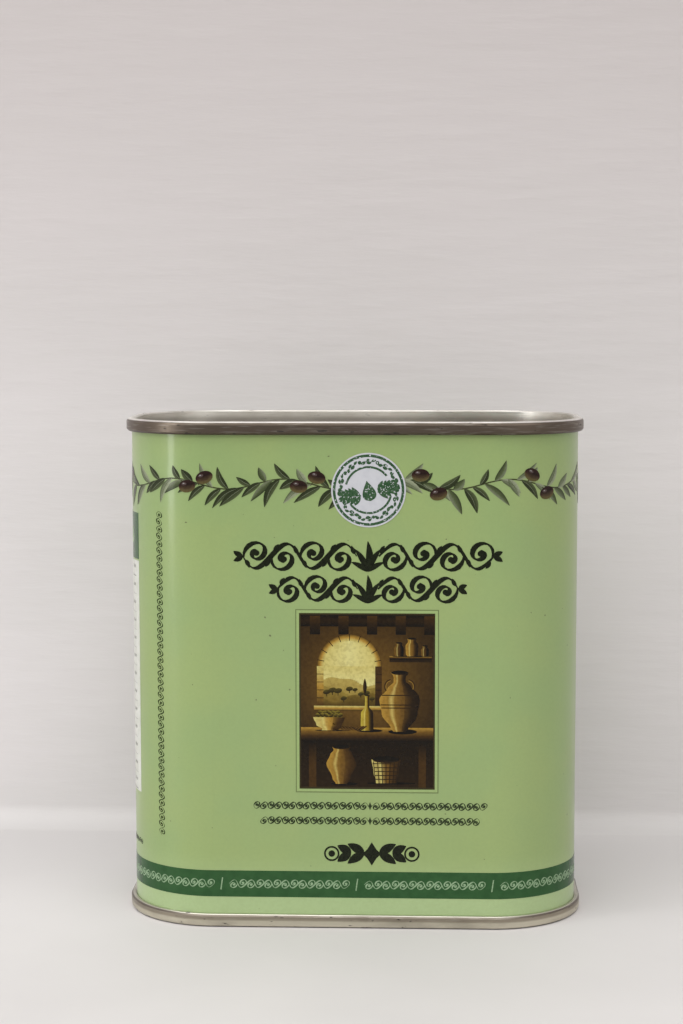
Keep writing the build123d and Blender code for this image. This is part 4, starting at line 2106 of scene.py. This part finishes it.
@dataclass
class Studio:
    """Floor, backdrop, lamps and camera. Angles are in degrees, and the lens is in millimetres."""

    distance: float = 490.26 * MM
    azimuth: float = 2.42
    elevation: float = 5.57
    roll: float = -0.08
    lens: float = 72.97
    sensor: float = 36.0
    near: float = 0.01
    aim_right: float = -3.28 * MM
    aim_height: float = 92.52 * MM
    wall_place: float = 64 * MM
    wall_height: float = 1.2
    cove: float = 6 * MM
    cove_strip: float = 0.1 * MM
    front_edge: float = -3.0
    rear_edge: float = 2.2
    half_width: float = 2.2
    cloud_size: float = 45 * MM
    brush_size: float = 5 * MM
    brush_depth: float = 0.25 * MM
    turn_up: Span = (0.5 * MM, 5 * MM)
    wall_painted_shade: Span = (40 * MM, 250 * MM)
    rear_painted_shade: Span = (-30 * MM, 62 * MM)
    front_painted_shade: Span = (-1.2, -0.3)
    solid_floor: Span = (0.02 * MM, 0.06 * MM)
    lamps: tuple[Lamp, ...] = (
        Lamp("overhead", (-0.44, -1.22, 2.1), (0, 0.05, 0.1), (2.8, 2.1), 39.0),
        Lamp("left_window", (-0.75, -0.42, 0.3), (0, 0, 0.07), (0.14, 0.7), 1.85),
        Lamp("right_fill", (1.1, -1.2, 0.7), (0.05, 0.05, 0.1), (1.0, 1.0), 3.0),
    )

    def camera(self) -> None:
        """Place the camera where the photographer stood."""
        az, el = math.radians(self.azimuth), math.radians(self.elevation)
        back = Vector((math.sin(az) * math.cos(el), -math.cos(az) * math.cos(el), math.sin(el)))
        right = Vector((math.cos(az), math.sin(az), 0))
        target = Vector((0, 0, self.aim_height)) + right * self.aim_right
        data = bpy.data.cameras.new("camera")
        data.lens = self.lens
        data.sensor_width = self.sensor
        data.clip_start = self.near
        camera = bpy.data.objects.new("camera", data)
        camera.location = target + back * self.distance
        turned = (-back).to_track_quat("-Z", "Y")
        camera.rotation_euler = (Quaternion(back, math.radians(self.roll)) @ turned).to_euler()
        bpy.context.scene.collection.objects.link(camera)
        bpy.context.scene.camera = camera

    def stage(self) -> None:
        """Lay one painted sheet, a floor that turns up through a cove, and the floor behind it."""
        cove_start = self.wall_place - self.cove
        bent = [(self.front_edge, 0.0), (cove_start - self.cove_strip, 0.0)]
        for share in shares(17):
            turn = math.pi / 2 * share
            bent.append((cove_start + self.cove * math.sin(turn), self.cove - self.cove * math.cos(turn)))
        bent.append((self.wall_place, self.wall_height))
        level = [(cove_start, 0.0), (self.rear_edge, 0.0)]
        paint = self._paint()
        for name, points in (("painted_sheet", bent), ("rear_floor", level)):
            vertices = [Vector((side * self.half_width, y, z)) for y, z in points for side in (-1, 1)]
            faces = [(2 * n, 2 * n + 1, 2 * n + 3, 2 * n + 2) for n in range(len(points) - 1)]
            mesh = bpy.data.meshes.new(name)
            mesh.from_pydata(vertices, [], faces)
            mesh.shade_smooth()
            mesh.materials.append(paint)
            sheet = link_piece(name, mesh)

    def _paint(self) -> Material:
        """Brushed pale paint, which above the floor only the camera and shiny or clear surfaces see.

        Returns:
            The paint, clear from behind.
        """
        shader = Shader("painted_sheet")
        cloud = shader.noise(self.cloud_size, 4.0, (2.2, 1.0))
        brush = shader.noise(self.brush_size, 5.0, (6.0, 1.0))
        wall = shader.blend(cloud.above(0.3, 0.7), tint(222, 218, 219), tint(216, 213, 213))
        # Painted shade: the backdrop darkens higher up the wall.
        wall = shader.blend(shader.level().above(*self.wall_painted_shade), wall, tint(194, 188, 187))
        floor = shader.blend(cloud.above(0.3, 0.7), tint(216, 213, 213), tint(209, 206, 206))
        # Painted shade: the floor darkens towards the wall.
        floor = shader.blend(shader.axis("Y").above(*self.rear_painted_shade), floor, tint(202, 199, 199))
        # Painted shade: the floor far in front turns dark, standing in for the dim room that the metal
        # reflects.
        floor = shader.blend(shader.axis("Y").above(*self.front_painted_shade), tint(104, 102, 101), floor)
        colour = shader.blend(shader.level().above(*self.turn_up), floor, wall)
        shader.bump(brush, self.brush_depth)
        shader.dress(Base_Color=colour, Roughness=0.6)
        side = shader.add("ShaderNodeNewGeometry")
        low = 1 - shader.level().above(*self.solid_floor)
        seen = (shader.seen_rays() + low) * (1 - Value(shader, side.outputs["Backfacing"]))
        clear = shader.add("ShaderNodeBsdfTransparent")
        both = shader.mix_surfaces(seen, clear.outputs[0], shader.surface.outputs[0])
        shader.feed(shader.output.inputs["Surface"], both)
        return shader.material

    def light(self) -> None:
        """Hang the lamps and set the room, which gives less light from below than it shows."""
        for lamp in self.lamps:
            lamp.hang()
        world = bpy.data.worlds.new("room")
        bpy.context.scene.world = world
        world.use_nodes = True
        room = Nodes(world.node_tree, Space.ROOM)
        rise = room.axis("Z").above(-0.05, 0.5)
        open_side = (room.axis("Y") - room.axis("X") * 0.35).above(-0.45, 0.15)
        shown = (rise * 0.75 + 0.35) * (1 - open_side) + open_side
        lights = {"Color": tint(214, 211, 208), "Strength": rise + 0.1}
        looks = {"Color": tint(216, 212, 208), "Strength": shown}
        light, seen = (room.add("ShaderNodeBackground", {}, values).outputs[0] for values in (lights, looks))
        both = room.mix_surfaces(room.seen_rays(), light, seen)
        room.add("ShaderNodeOutputWorld", {}, {"Surface": both})
        bpy.context.scene.view_settings.view_transform = "Standard"


@dataclass
class OilTin:
    """The whole tin: finishes on its own metal and plastic, and the print round it."""

    wall: BodyWall = field(default_factory=BodyWall)
    front_middle: float = 3.7 * MM
    sticker_place: Point = (0.17 * MM, 100.0 * MM)
    # Painted light and shade up the top seam: a dark lower edge as painted shade under the roll, a band
    # darkened partly by worn metal and partly as painted shade, and a near-white painted highlight along the
    # top.
    upper_seam_tone_and_light: Ramp = (
        (0.0, tint(74, 64, 57)),
        (0.14, tint(103, 93, 83)),
        (0.89, tint(109, 99, 89)),
        (0.94, tint(250, 248, 243)),
    )
    # Painted light and shade up the bottom seam: dark at the floor as a painted contact shadow, pale and dark
    # bands as a painted reflection of floor and room, and a pale painted highlight along the top.
    lower_seam_tone_and_light: Ramp = (
        (0.02, tint(64, 58, 50)),
        (0.1, tint(206, 201, 184)),
        (0.5, tint(202, 196, 178)),
        (0.62, tint(160, 151, 136)),
        (0.83, tint(150, 141, 127)),
        (0.87, tint(112, 104, 94)),
        (0.95, tint(126, 120, 110)),
        (0.98, tint(214, 210, 200)),
    )

    def dress_nodes(self) -> None:
        """Give each carried-over piece its finish."""
        # Painted shade inside the top rim, and painted light and shade up the top seam.
        upper_seam = {"seam_level": TIN_HEIGHT - SEAM_HEIGHT, "seam_tone_and_painted_light": self.upper_seam_tone_and_light, "rim_recess_shade": 0.6}
        natural = Moulding("natural_plastic", tint(226, 224, 212), tint(214, 211, 196), 0.36, 0.25).material()
        green = Moulding("cap_plastic", tint(52, 84, 50), tint(44, 72, 44), 0.3).material()
        rubber = Moulding("gasket_rubber", tint(150, 140, 120), tint(130, 120, 102), 0.6)
        foam = Moulding("liner_foam", tint(232, 230, 222), tint(222, 219, 208), 0.6)
        finishes = {
            "body_shell": GreenLacquer().material(),
            "top_end": AgedTinplate("top_tinplate", **upper_seam).material(),
            # Painted light and shade up the bottom seam.
            "bottom_end": AgedTinplate("bottom_tinplate", seam_tone_and_painted_light=self.lower_seam_tone_and_light).material(),
            "collar_gasket": rubber.material(),
            "spout_collar": natural,
            "pour_spout": natural,
            "cap_liner": foam.material(),
            "tamper_band": green,
            "screw_cap": green,
            "bail_left": green,
            "bail_right": green,
        }
        for name, material in finishes.items():
            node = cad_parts[name]
            for place in range(len(node.material_slots)):
                node.material_slots[place].material = material
            log.info("%s is finished in %s", name, material.name)

    def print_body(self) -> None:
        """Lay every printed piece on the wall, the back face like the front."""
        flank = FlankPrint(self.wall)
        pieces = Garland(self.wall).build() + BaseBand(self.wall).build() + flank.build()
        back_middle = self.front_middle + self.wall.half_round
        for face, middle in (("front", self.front_middle), ("back", back_middle)):
            sticker = (middle + self.sticker_place[0], self.sticker_place[1])
            pieces += StampMark(self.wall, sticker).build(face)
            pieces += FacePrint(self.wall, middle).build(face)
        place_all(pieces, Body.TIN)
        place_all(flank.weld(), Body.TIN)

    def cut_threads(self) -> None:
        """Wind the threads of neck and cap, half a pitch apart."""
        natural = bpy.data.materials["natural_plastic"]
        green = bpy.data.materials["cap_plastic"]
        neck = Thread(
            CLOSURE_PLACE, root_radius=10.6 * MM, crest_radius=11.55 * MM, low=102.9 * MM, high=108.2 * MM
        )
        nut = Thread(
            CLOSURE_PLACE,
            root_radius=12.0 * MM,
            crest_radius=11.1 * MM,
            low=103.2 * MM,
            high=108.5 * MM,
            turn=math.pi / 2,
        )
        place_all([neck.build("neck_threads", natural)], Body.SPOUT)
        place_all([nut.build("cap_threads", green)], Body.CAP)


def main() -> None:
    """Build the tin and its studio."""
    logging.basicConfig(level=logging.INFO, format="%(message)s")
    tin = OilTin()
    tin.dress_nodes()
    tin.print_body()
    tin.cut_threads()
    studio = Studio()
    studio.stage()
    studio.light()
    studio.camera()


if __name__ == "__main__":
    main()
